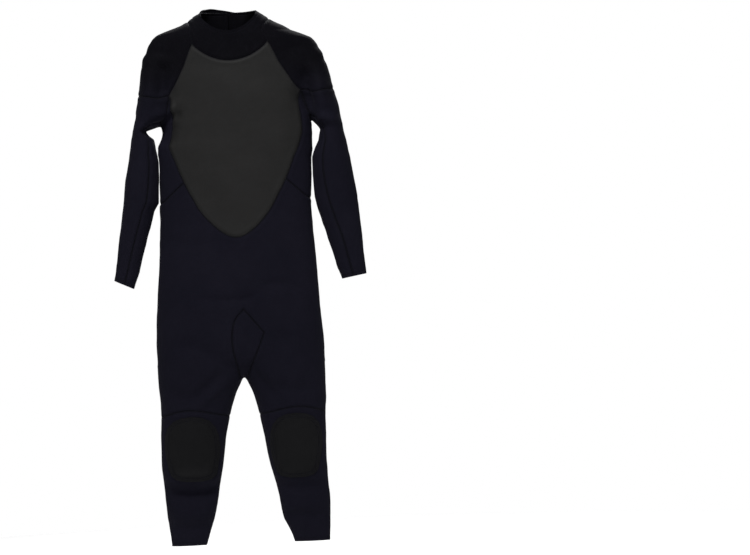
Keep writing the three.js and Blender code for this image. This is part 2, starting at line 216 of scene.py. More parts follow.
def seamGroup():
    # what is near a sewn edge: the valley of the seam, and a flat lockstitch that zigzags over it
    # Off is the distance from the seam and Along is the distance along it, both in metres
    tree, given, out = group("seam", [("Off", "NodeSocketFloat", 1.0), ("Along", "NodeSocketFloat", 0.0),
                                      ("Pitch", "NodeSocketFloat", 0.0032), ("Reach", "NodeSocketFloat", 0.0032)],
                             [("Height", "NodeSocketFloat"), ("Thread", "NodeSocketFloat"),
                              ("ValleyShade", "NodeSocketFloat")])
    off, along = given.outputs["Off"], given.outputs["Along"]
    valley = remap(tree, off, 0.0, 0.0028, 1.0, 0.0)
    phase = math2(tree, "DIVIDE", along, given.outputs["Pitch"])
    shear = math2(tree, "MULTIPLY", off, 130.0)
    saw = math2(tree, "PINGPONG", math2(tree, "ADD", phase, shear), 0.5)
    band = remap(tree, off, 0.0030, 0.0036, 1.0, 0.0)
    thread = math2(tree, "MULTIPLY", remap(tree, saw, 0.22, 0.42), band)
    bulge = remap(tree, off, 0.0015, 0.009, 0.0, 1.0)
    height = math2(tree, "ADD", math2(tree, "MULTIPLY", valley, -1.0), math2(tree, "MULTIPLY", thread, 0.45))
    height = math2(tree, "ADD", height, math2(tree, "MULTIPLY", bulge, 0.35))
    tree.links.new(height, out.inputs["Height"])
    tree.links.new(thread, out.inputs["Thread"])
    # the valley mask is what the materials use for painted shade in the seam's hollow
    tree.links.new(valley, out.inputs["ValleyShade"])
    return tree


def ageGroup():
    # broad unevenness of dyed cloth, pale dust in it and a bloom where it has creased
    tree, given, out = group("age", [("Place", "NodeSocketVector", None)],
                             [("Cloud", "NodeSocketFloat"), ("Dust", "NodeSocketFloat"),
                              ("Crease", "NodeSocketFloat")])
    cloud = node(tree, "ShaderNodeTexNoise", {"Scale": 7.0, "Detail": 4.0, "Roughness": 0.55})
    dust = node(tree, "ShaderNodeTexNoise", {"Scale": 900.0, "Detail": 1.0})
    patch = node(tree, "ShaderNodeTexNoise", {"Scale": 22.0, "Detail": 3.0})
    crease = node(tree, "ShaderNodeTexNoise", {"Scale": 26.0, "Detail": 5.0, "Distortion": 0.8})
    for made in (cloud, dust, patch, crease):
        tree.links.new(given.outputs["Place"], made.inputs["Vector"])
    tree.links.new(remap(tree, cloud.outputs[0], 0.3, 0.7), out.inputs["Cloud"])
    specks = math2(tree, "MULTIPLY", remap(tree, dust.outputs[0], 0.70, 0.78),
                   remap(tree, patch.outputs[0], 0.42, 0.7))
    tree.links.new(specks, out.inputs["Dust"])
    tree.links.new(math2(tree, "SUBTRACT", 1.0, remap(tree, math2(tree, "ABSOLUTE", math2(
        tree, "SUBTRACT", crease.outputs[0], 0.5)), 0.0, 0.03)), out.inputs["Crease"])
    return tree


groups = {"knit": knitGroup(), "emboss": embossGroup(), "seam": seamGroup(), "age": ageGroup()}


def use(tree, name, links=None, values=None):
    made = node(tree, "ShaderNodeGroup", node_tree=groups[name])
    for key, source in (links or {}).items():
        tree.links.new(source, made.inputs[key])
    for key, value in (values or {}).items():
        made.inputs[key].default_value = value
    return made


def mixColour(tree, factor, a, b):
    made = node(tree, "ShaderNodeMix", data_type="RGBA")
    if isinstance(factor, (int, float)):
        made.inputs[0].default_value = factor
    else:
        tree.links.new(factor, made.inputs[0])
    for index, colour in ((6, a), (7, b)):
        if isinstance(colour, tuple):
            made.inputs[index].default_value = (*colour, 1.0)
        else:
            tree.links.new(colour, made.inputs[index])
    return made.outputs[2]


def blank(name):
    material = bpy.data.materials.new(name)
    material.use_nodes = True
    tree = material.node_tree
    shader = next(n for n in tree.nodes if n.type == "BSDF_PRINCIPLED")
    return material, tree, shader


def attribute(tree, name, output="Fac"):
    return node(tree, "ShaderNodeAttribute", attribute_name=name).outputs[output]


def neoprene(name, look):
    # panels of lined or embossed neoprene; they carry their own cloth coordinates and distances to the seams
    material, tree, shader = blank(name)
    cloth = attribute(tree, "cloth", "Vector")
    place = attribute(tree, "place", "Vector")
    face = use(tree, look["face"], {"Cloth": cloth}, {"Pitch": look["pitch"]})
    age = use(tree, "age", {"Place": place})
    seam = use(tree, "seam", {"Off": attribute(tree, "seamOff"), "Along": attribute(tree, "seamAlong")})
    hem = use(tree, "seam", {"Off": attribute(tree, "hemOff"), "Along": attribute(tree, "hemAlong")},
              {"Pitch": 0.0028})
    colour = mixColour(tree, face.outputs["Tone"], look["dark"], look["light"])
    cloud = mixColour(tree, age.outputs["Cloud"], colour, look["shade"])
    if "shadeAtTop" in look:
        # painted shade: the cloth darkens towards the shoulders and the collar, standing in for the light that falls
        # off at the top
        height = node(tree, "ShaderNodeSeparateXYZ")
        tree.links.new(place, height.inputs[0])
        topShade = remap(tree, height.outputs["Z"], -0.27, -0.10, 0.0, 0.95)
        cloud = mixColour(tree, topShade, cloud, look["shadeAtTop"])
    faded = mixColour(tree, math2(tree, "MULTIPLY", age.outputs["Crease"], 0.035), cloud, look["bloom"])
    dusty = mixColour(tree, math2(tree, "MULTIPLY", age.outputs["Dust"], 0.25), faded, look["bloom"])
    # painted shade: the colour darkens in the hollow of each seam
    seamShaded = mixColour(tree, math2(tree, "MULTIPLY", seam.outputs["ValleyShade"], 0.85), dusty, (0.002, 0.002, 0.003))
    thread = math2(tree, "MAXIMUM", seam.outputs["Thread"], hem.outputs["Thread"])
    sewn = mixColour(tree, math2(tree, "MULTIPLY", thread, 0.75), seamShaded, look["thread"])
    tree.links.new(sewn, shader.inputs["Base Color"])
    rough = math2(tree, "ADD", look["roughness"] - 0.06, math2(tree, "MULTIPLY", age.outputs["Cloud"], 0.1))
    tree.links.new(rough, shader.inputs["Roughness"])
    fine = node(tree, "ShaderNodeBump", {"Strength": look["bump"], "Distance": 0.0004})
    tree.links.new(face.outputs["Height"], fine.inputs["Height"])
    sewing = node(tree, "ShaderNodeBump", {"Strength": 1.0, "Distance": 0.0011})
    tree.links.new(math2(tree, "ADD", seam.outputs["Height"], hem.outputs["Height"]), sewing.inputs["Height"])
    tree.links.new(fine.outputs[0], sewing.inputs["Normal"])
    tree.links.new(sewing.outputs[0], shader.inputs["Normal"])
    shader.inputs["Specular IOR Level"].default_value = look["specular"]
    shader.inputs["Sheen Weight"].default_value = look["sheen"]
    shader.inputs["Sheen Roughness"].default_value = 0.45
    shader.inputs["Sheen Tint"].default_value = (*look["sheenTint"], 1.0)
    return material


jerseyLook = {"face": "knit", "pitch": 0.0016, "dark": (0.0025, 0.0023, 0.0052), "light": (0.0065, 0.0060, 0.0118),
              "shade": (0.0036, 0.0034, 0.0070), "bloom": (0.016, 0.016, 0.024), "thread": (0.0022, 0.0021, 0.0040),
              "roughness": 0.88, "bump": 0.3, "specular": 0.06, "sheen": 0.010, "sheenTint": (0.8, 0.8, 1.0),
              # the last colour is painted shade: the cloth darkens to it towards the shoulders and the collar
              "shadeAtTop": (0.0005, 0.0004, 0.0012)}
skinLook = {"face": "emboss", "pitch": 0.0032, "dark": (0.0046, 0.0045, 0.0044), "light": (0.0082, 0.0080, 0.0079),
            "shade": (0.0062, 0.0061, 0.0060), "bloom": (0.026, 0.026, 0.026), "thread": (0.0022, 0.0021, 0.0040),
            "roughness": 0.68, "bump": 0.35, "specular": 0.14, "sheen": 0.010, "sheenTint": (1.0, 1.0, 1.0)}
padLook = {**skinLook, "pitch": 0.0042, "dark": (0.0024, 0.0024, 0.0028), "light": (0.0044, 0.0044, 0.0050),
           "shade": (0.0032, 0.0032, 0.0037), "bloom": (0.010, 0.010, 0.011), "specular": 0.07}


def foam(name, look):
    # the cut edge of the rubber foam: tiny open cells
    material, tree, shader = blank(name)
    where = node(tree, "ShaderNodeTexCoord").outputs["Object"]
    cells = node(tree, "ShaderNodeTexVoronoi", {"Scale": look["cells"]})
    tree.links.new(where, cells.inputs["Vector"])
    pits = remap(tree, cells.outputs["Distance"], 0.1, 0.6)
    tree.links.new(mixColour(tree, pits, look["dark"], look["light"]), shader.inputs["Base Color"])
    bump = node(tree, "ShaderNodeBump", {"Strength": 0.5, "Distance": 0.0003})
    tree.links.new(pits, bump.inputs["Height"])
    tree.links.new(bump.outputs[0], shader.inputs["Normal"])
    shader.inputs["Roughness"].default_value = 0.9
    shader.inputs["Specular IOR Level"].default_value = 0.1
    return material


def woven(name, look):
    # webbing and zip tape: a rib along the strap crossed by the weft, on the strap's own coordinates
    material, tree, shader = blank(name)
    split = node(tree, "ShaderNodeSeparateXYZ")
    tree.links.new(attribute(tree, "cloth", "Vector"), split.inputs[0])
    rib = math2(tree, "SINE", math2(tree, "MULTIPLY", split.outputs["X"], 2 * math.pi / look["rib"]))
    weft = math2(tree, "SINE", math2(tree, "ADD", math2(
        tree, "MULTIPLY", split.outputs["Z"], 2 * math.pi / look["weft"]), math2(tree, "MULTIPLY", rib, 1.3)))
    height = math2(tree, "ADD", math2(tree, "MULTIPLY", rib, 0.3), math2(tree, "MULTIPLY", weft, 0.25))
    tone = remap(tree, height, -0.5, 0.5)
    age = use(tree, "age", {"Place": attribute(tree, "place", "Vector")})
    colour = mixColour(tree, tone, look["dark"], look["light"])
    worn = mixColour(tree, math2(tree, "MULTIPLY", age.outputs["Dust"], 0.4), colour, look["bloom"])
    tree.links.new(worn, shader.inputs["Base Color"])
    bump = node(tree, "ShaderNodeBump", {"Strength": 0.7, "Distance": 0.0005})
    tree.links.new(height, bump.inputs["Height"])
    tree.links.new(bump.outputs[0], shader.inputs["Normal"])
    tree.links.new(math2(tree, "ADD", 0.62, math2(tree, "MULTIPLY", age.outputs["Cloud"], 0.15)),
                   shader.inputs["Roughness"])
    shader.inputs["Specular IOR Level"].default_value = 0.15
    shader.inputs["Sheen Weight"].default_value = 0.02
    return material


def pile(name, look):
    # hook-and-loop cloth: a dense pile with an uneven nap
    material, tree, shader = blank(name)
    where = attribute(tree, "place", "Vector")
    tufts = node(tree, "ShaderNodeTexVoronoi", {"Scale": look["tufts"]})
    nap = node(tree, "ShaderNodeTexNoise", {"Scale": 160.0, "Detail": 4.0})
    for made in (tufts, nap):
        tree.links.new(where, made.inputs["Vector"])
    tone = math2(tree, "ADD", math2(tree, "MULTIPLY", tufts.outputs["Distance"], 0.7),
                 math2(tree, "MULTIPLY", nap.outputs[0], 0.5), clamp=True)
    tree.links.new(mixColour(tree, tone, look["dark"], look["light"]), shader.inputs["Base Color"])
    bump = node(tree, "ShaderNodeBump", {"Strength": 0.9, "Distance": 0.0008})
    tree.links.new(tone, bump.inputs["Height"])
    tree.links.new(bump.outputs[0], shader.inputs["Normal"])
    shader.inputs["Roughness"].default_value = 0.95
    shader.inputs["Specular IOR Level"].default_value = 0.15
    shader.inputs["Sheen Weight"].default_value = 0.04
    return material


def cast(name, look):
    # small zip hardware, tumbled: scratches, brighter rubbed edges and uneven blotches of grime
    material, tree, shader = blank(name)
    where = node(tree, "ShaderNodeTexCoord").outputs["Object"]
    grain = node(tree, "ShaderNodeTexNoise", {"Scale": 1400.0, "Detail": 3.0})
    stain = node(tree, "ShaderNodeTexNoise", {"Scale": 260.0, "Detail": 4.0})
    for made in (grain, stain):
        tree.links.new(where, made.inputs["Vector"])
    edge = remap(tree, node(tree, "ShaderNodeNewGeometry").outputs["Pointiness"], 0.5, 0.56)
    base = mixColour(tree, remap(tree, stain.outputs[0], 0.35, 0.7), look["dark"], look["light"])
    rubbed = mixColour(tree, math2(tree, "MULTIPLY", edge, 0.6), base, look["edge"])
    tree.links.new(rubbed, shader.inputs["Base Color"])
    tree.links.new(math2(tree, "ADD", look["roughness"] - 0.08, math2(tree, "MULTIPLY", grain.outputs[0], 0.2)),
                   shader.inputs["Roughness"])
    bump = node(tree, "ShaderNodeBump", {"Strength": 0.2, "Distance": 0.0002})
    tree.links.new(grain.outputs[0], bump.inputs["Height"])
    tree.links.new(bump.outputs[0], shader.inputs["Normal"])
    shader.inputs["Metallic"].default_value = look["metallic"]
    return material


jersey = neoprene("jersey", jerseyLook)
skin = neoprene("embossed_skin", skinLook)
padSkin = neoprene("pad_skin", padLook)
lining = neoprene("lining", {**jerseyLook, "dark": (0.0030, 0.0030, 0.0036), "light": (0.0070, 0.0070, 0.0080),
                             "shade": (0.0040, 0.0040, 0.0046)})
cutEdge = foam("foam_edge", {"cells": 1800.0, "dark": (0.004, 0.004, 0.005), "light": (0.014, 0.014, 0.016)})
webbing = woven("webbing", {"rib": 0.0026, "weft": 0.0018, "dark": (0.0018, 0.0018, 0.0022),
                            "light": (0.0060, 0.0060, 0.0068), "bloom": (0.02, 0.02, 0.02)})
zipTape = woven("zip_tape", {"rib": 0.0014, "weft": 0.0010, "dark": (0.0016, 0.0016, 0.0020),
                             "light": (0.0050, 0.0050, 0.0056), "bloom": (0.02, 0.02, 0.02)})
loopPile = pile("loop_pile", {"tufts": 1300.0, "dark": (0.007, 0.007, 0.008), "light": (0.026, 0.026, 0.028)})
hookPile = pile("hook_pile", {"tufts": 900.0, "dark": (0.006, 0.006, 0.007), "light": (0.020, 0.020, 0.022)})
toothPlastic = cast("zip_teeth", {"dark": (0.012, 0.012, 0.013), "light": (0.035, 0.035, 0.037),
                                  "edge": (0.09, 0.09, 0.09), "roughness": 0.42, "metallic": 0.0})
zipMetal = cast("zip_metal", {"dark": (0.05, 0.05, 0.055), "light": (0.13, 0.13, 0.14), "edge": (0.42, 0.42, 0.43),
                              "roughness": 0.36, "metallic": 1.0})
print("materials made")


# ---- the form of the hanging suit ----
# rings: centre x, z, half width, half depth, all in millimetres
torso = {"power": 2.3, "segments": 72, "y": 0, "rings": [
    (0, 100, 60, 49), (0, 56, 62, 51), (0, 36, 74, 54), (0, 6, 116, 59), (0, -12, 163, 63), (0, -31, 204, 67),
    (0, -60, 230, 69), (0, -104, 234, 70), (0, -150, 228, 70), (0, -210, 216, 70), (0, -270, 206, 70),
    (0, -320, 202, 70), (0, -370, 208, 70), (0, -430, 212, 70), (0, -504, 212, 70), (0, -540, 209, 70),
    (0, -571, 210, 70), (0, -660, 217, 72), (0, -770, 226, 74), (0, -880, 232, 72), (0, -930, 231, 66),
    (0, -962, 222, 50), (0, -980, 200, 26)]}
leg = {"power": 2.2, "segments": 56, "y": 0, "rings": [
    (100, -780, 124, 64), (103, -880, 127, 66), (108, -945, 124, 65), (115.5, -985, 116.5, 63),
    (125.5, -1019, 106, 59), (132.3, -1064, 97.3, 54), (137, -1108, 91, 49.5), (143, -1153, 86.8, 46),
    (146.4, -1198, 83.2, 43.5), (150.5, -1243, 79, 40), (154.5, -1288, 73.5, 37), (158.8, -1332, 69.2, 33.5),
    (162, -1377, 63, 29.5), (168, -1422, 52, 25.5), (172, -1456, 46, 23), (176, -1490, 43, 22)]}
sleeve = {"power": 2.0, "segments": 48, "y": -6, "rings": [
    (140, -95, 66, 50), (192, -136, 76, 58), (230, -202, 51, 58), (248, -258, 44, 56), (263.5, -292, 29.5, 52),
    (265, -318, 33, 51), (264, -345, 39, 49), (264.5, -372, 42, 48), (269.5, -430, 46, 46),
    (277.5, -504, 48.5, 42), (292, -571, 43.5, 36), (307.5, -652, 36, 28),
    (319, -708, 31, 22), (327, -742, 30, 21)]}
form = {"voxel": 0.0040, "soften": 14}


def addTube(bm, part, side=1, tilted=False):
    rings = np.array(smoothLine(part["rings"], 3)) * mm
    loops = []
    for i, (x, z, width, depth) in enumerate(rings):
        before, after = rings[max(i - 1, 0)], rings[min(i + 1, len(rings) - 1)]
        down = Vector((after[0] - before[0], 0, after[1] - before[1])).normalized()
        across = Vector((-down.z, 0, down.x)) if tilted else Vector((1, 0, 0))
        ring = bmesh.ops.create_circle(bm, segments=part["segments"], radius=1)["verts"]
        for vert in ring:
            c, s = vert.co.x, vert.co.y
            u = math.copysign(abs(c) ** (2 / part["power"]), c) * width
            v = math.copysign(abs(s) ** (2 / part["power"]), s) * depth
            vert.co = Vector((x, part["y"] * mm + v, z)) + across * u
            vert.co.x *= side
        loops.append(once(e for v in ring for e in v.link_edges))
    for one, two in zip(loops, loops[1:]):
        bmesh.ops.bridge_loops(bm, edges=one + two)
    bmesh.ops.edgeloop_fill(bm, edges=loops[0])
    bmesh.ops.edgeloop_fill(bm, edges=loops[-1])


def suitForm():
    bm = bmesh.new()
    addTube(bm, torso)
    for _, side in ends:
        addTube(bm, leg, side)
        addTube(bm, sleeve, side, tilted=True)
    bmesh.ops.recalc_face_normals(bm, faces=bm.faces)
    obj = fromBmesh("form", bm)
    union = obj.modifiers.new("union", "REMESH")
    union.mode = "VOXEL"
    union.voxel_size = form["voxel"]
    bake(obj)
    bm = bmesh.new()
    bm.from_mesh(obj.data)
    bpy.data.objects.remove(obj)
    for _ in range(form["soften"]):
        bmesh.ops.smooth_vert(bm, verts=bm.verts, factor=0.5, use_axis_x=True, use_axis_y=True, use_axis_z=True)
    bm.normal_update()
    outward = bm.verts.layers.float_vector.new("outward")
    for vert in bm.verts:
        vert[outward] = vert.normal
    return bm


# ---- chalk lines of the seams ----
collarSide = [(100, -5), (116, 25)]
armpit = [(204, -260), (206.5, -284), (213.4, -286.5)]
sideCross = [(200, -490), (222, -500)]
frontSeams = [
    [(102, -55), *collarSide],
    [(102, -55), (184, -199)],
    [(184, -199), *armpit],
    [(184, -199), (215, -203), (246, -198), (300, -188)],
    [(139.5, -438), *sideCross],
    smoothLine([(204, -266), (224, -274), (243, -296), (247, -330), (247, -386), (250, -437), (262, -505),
                (286, -585), (305, -655), (326, -745)]),
    smoothLine([(184, -199), (178, -290), (165, -367), (141, -440), (102, -514), (62, -562), (30, -588), (10, -596.5),
                (0, -597)]),
    smoothLine([(32, -1096), (75, -1088), (110, -1080), (150, -1075), (190, -1080), (240, -1096)]),
]
backSeams = [
    [(4, -116), (75, -22), *collarSide],
    [(75, -22), (178, -205)],
    [(178, -205), *armpit],
    [(178, -205), (215, -207), (246, -198), (300, -188)],
    smoothLine([(178, -205), (166, -300), (152, -382), (138, -460), (136, -507), (141, -552), (152, -619),
                (171, -717), (192, -801), (207, -885), (224, -943), (244, -975)]),
    smoothLine([(-1, -583), (75, -571), (137, -545)]) + sideCross,
    smoothLine([(204, -262), (224, -272), (246, -296), (266, -346), (284, -408), (299, -478), (313, -560),
                (327, -645), (340, -740)]),
    smoothLine([(32, -1096), (75, -1092), (110, -1090), (150, -1090), (190, -1085), (240, -1074)]),
]
neckline = {"z": 24, "radius": 129, "half": 102}
gusset = {"front": [[(10, -798), (66, -865), (40, -925), (10, -990)],
                    smoothLine([(10, -798), (-16, -830), (-25, -880), (-20, -935), (-10, -990)])],
          "back": [[(0, -905), (28, -935), (10, -990)], [(0, -905), (-28, -935), (-10, -990)]]}
slot = {"half": 4.5, "bottom": -491}
scoop = {"z": 57, "radius": 78}
cuffs = {-1: (-333, -711, -0.46), 1: (319, -719, 0.215)}  # a point on each cuff and its slope
hinges = {  # the joints of the limbs: pivot, tilt, and how far above and below it the cloth would share a turn; nothing here bends the suit, the hip and elbow only place cuts and the inner leg seams
    "shoulder": {"x": 256, "z": -310, "y": -6, "tilt": 44, "above": 45, "below": 60},
    "elbow": {"x": 273, "z": -492, "y": -6, "tilt": 9, "above": 50, "below": 50},
    "hip": {"x": 116, "z": -985, "y": 0, "tilt": 25, "above": 42, "below": 58},
    "knee": {"x": 146, "z": -1185, "y": 0, "tilt": 0, "above": 75, "below": 75}}


def hingeFrame(name, side):
    # the pivot, and the direction up the limb from it
    h = hinges[name]
    tilt = math.radians(h["tilt"])
    up = Vector((-side * math.sin(tilt), 0, math.cos(tilt)))
    return Vector((side * h["x"], h["y"], h["z"])) * mm, up


class Cutter:
    # cuts chalk lines into a mesh, looking only at the faces near each line
    cell = 0.016

    def __init__(self, bm):
        self.bm = bm
        self.mark = bm.edges.layers.int.new("mark")
        self.lines = []
        self.buckets = {}
        for face in bm.faces:
            self.put(face)

    def put(self, face):
        c = face.calc_center_median()
        key = (int(c.x // self.cell), int(c.z // self.cell), c.y > 0)
        self.buckets.setdefault(key, {})[face] = True

    def near(self, a, b, back):
        reach = 0.008
        xs = range(int((min(a[0], b[0]) - reach) // self.cell), int((max(a[0], b[0]) + reach) // self.cell) + 1)
        zs = range(int((min(a[1], b[1]) - reach) // self.cell), int((max(a[1], b[1]) + reach) // self.cell) + 1)
        found = {}
        for x in xs:
            for z in zs:
                key = (x, z, back)
                if key in self.buckets:
                    self.buckets[key] = {f: True for f in self.buckets[key] if f.is_valid}
                    found.update(self.buckets[key])
        return list(found)

    def split(self, faces, place, normal):
        # bisects these faces with a plane, and returns the edges of the cut
        made = bmesh.ops.bisect_plane(self.bm, geom=withEdgesAndVerts(faces), dist=1e-6, plane_co=place,
                                      plane_no=normal)
        for item in made["geom"]:
            if isinstance(item, bmesh.types.BMFace):
                self.put(item)
        return [e for e in made["geom_cut"] if isinstance(e, bmesh.types.BMEdge)]

    def line(self, points, back, kind):
        points = [(x * mm, z * mm) for x, z in points]
        pad = 0.004
        for a, b in zip(points, points[1:]):
            along = Vector((b[0] - a[0], 0, b[1] - a[1]))
            length = along.length
            along.normalize()
            start = Vector((a[0], 0, a[1]))
            normal = Vector((along.z, 0, -along.x))
            faces = []
            for face in self.near(a, b, back):
                offsets = [v.co - start for v in face.verts]
                t = [o.dot(along) for o in offsets]
                n = [o.dot(normal) for o in offsets]
                if max(t) > -pad and min(t) < length + pad and min(n) < 0 < max(n):
                    faces.append(face)
            if faces:
                self.split(faces, start, normal)
            self.lines.append((a, b, back, kind))

    def markLines(self):
        # after all the cuts: every edge that lies on a chalk line
        for a, b, back, kind in self.lines:
            start = Vector((a[0], 0, a[1]))
            along = Vector((b[0] - a[0], 0, b[1] - a[1]))
            length = along.length
            along.normalize()
            normal = Vector((along.z, 0, -along.x))
            for edge in once(e for f in self.near(a, b, back) for e in f.edges):
                offsets = [v.co - start for v in edge.verts]
                t = (offsets[0].dot(along) + offsets[1].dot(along)) / 2
                if -0.0006 < t < length + 0.0006 and all(abs(o.dot(normal)) < 2e-5 for o in offsets):
                    edge[self.mark] = kind

    def plane(self, test, place, normal, kind):
        # a straight cut through whatever part of the suit the test picks
        faces = [f for f in self.bm.faces if test(f.calc_center_median())]
        for edge in self.split(faces, place, normal):
            edge[self.mark] = kind


sewn, hinged, hemmed = 1, 2, 3  # what a marked edge is


def cutPanels(bm):
    cutter = Cutter(bm)
    cutter.plane(lambda c: abs(c.y) < 0.008, (0, 0, 0), (0, 1, 0), 0)
    for back, seams in ((False, frontSeams), (True, backSeams)):
        for seam in seams:
            cutter.line(seam, back, sewn)
            cutter.line(mirrored(seam), back, sewn)
        for seam in gusset["back" if back else "front"]:
            cutter.line(seam, back, sewn)
    sweep = np.linspace(-1, 1, 17) * math.asin(neckline["half"] / neckline["radius"])
    cutter.line([(neckline["radius"] * math.sin(a), neckline["z"] - neckline["radius"] * math.cos(a)) for a in sweep],
                False, sewn)
    cutter.line([(0, -905), (0, slot["bottom"])], True, sewn)
    # the slot for the zip, the front scoop of the collar and its edge behind
    for side in (-1, 1):
        cutter.line([(side * slot["half"], slot["bottom"]), (side * slot["half"], 110)], True, hemmed)
    cutter.line([(-slot["half"], slot["bottom"]), (slot["half"], slot["bottom"])], True, hemmed)
    sweep = np.linspace(-1, 1, 25) * 1.84
    cutter.line([(scoop["radius"] * math.sin(a), scoop["z"] - scoop["radius"] * math.cos(a)) for a in sweep],
                False, hemmed)
    cutter.plane(lambda c: c.y > 0 and c.z > 0.02, (0, 0, 0.037), (0, 0, 1), hemmed)
    # legs and arms
    for side in (-1, 1):
        for name in ("hip", "elbow"):
            pivot, up = hingeFrame(name, side)
            place = pivot + up * (hinges[name]["above"] + (3 if name == "elbow" else 0)) * mm
            low, high = (-1.2, -0.84) if name == "hip" else (-0.56, -0.4)
            inside = 0 if name == "hip" else 0.217
            cutter.plane(lambda c: side * c.x > inside and low < c.z < high and abs((c - place).dot(up)) < 0.01,
                         place, up, hinged)
    cutter.markLines()
    # the seams down the inside and the outside of the legs
    for edge in bm.edges:
        a, b = edge.verts[0].co, edge.verts[1].co
        if max(abs(a.y), abs(b.y)) > 1e-5 or max(a.z, b.z) > -0.95:
            continue
        middle = (a + b) / 2
        pivot, up = hingeFrame("hip", 1 if middle.x > 0 else -1)
        inner = abs(middle.x) < 0.155 and (middle - pivot).dot(up) < (hinges["hip"]["above"] - 0.1) * mm
        if inner or (abs(middle.x) > 0.155 and middle.z < -0.953):
            edge[cutter.mark] = sewn
    # away with what is above the neckline, in the slot, and past the hems
    radius = scoop["radius"] * mm
    gone = []
    for face in bm.faces:
        c = face.calc_center_median()
        inScoop = c.y < 0 and (math.hypot(c.x, c.z - scoop["z"] * mm) < radius or c.z > 0.037)
        inSlot = c.y > 0 and abs(c.x) < slot["half"] * mm and c.z > slot["bottom"] * mm
        if inScoop or inSlot or (c.y > 0 and c.z > 0.037):
            gone.append(face)
    bmesh.ops.delete(bm, geom=gone, context="FACES")
    for side in (-1, 1):
        cuff = [f for f in bm.faces if side * f.calc_center_median().x > 0.25 and f.calc_center_median().z < -0.64]
        x, z, slope = cuffs[side]
        bmesh.ops.bisect_plane(bm, geom=withEdgesAndVerts(cuff), plane_co=(x * mm, 0, z * mm),
                               plane_no=(slope, 0, -1), clear_outer=True)
    bmesh.ops.bisect_plane(bm, geom=bm.faces[:] + bm.edges[:] + bm.verts[:],
                           plane_co=(0, 0, -1.4525), plane_no=(0, 0, -1), clear_outer=True)
    return cutter.mark


bm = suitForm()
restMesh = bpy.data.meshes.new("rest")
bm.to_mesh(restMesh)
print("form made:", len(bm.faces), "faces")
markLayer = cutPanels(bm)
print("panels cut:", len(bm.faces), "faces")


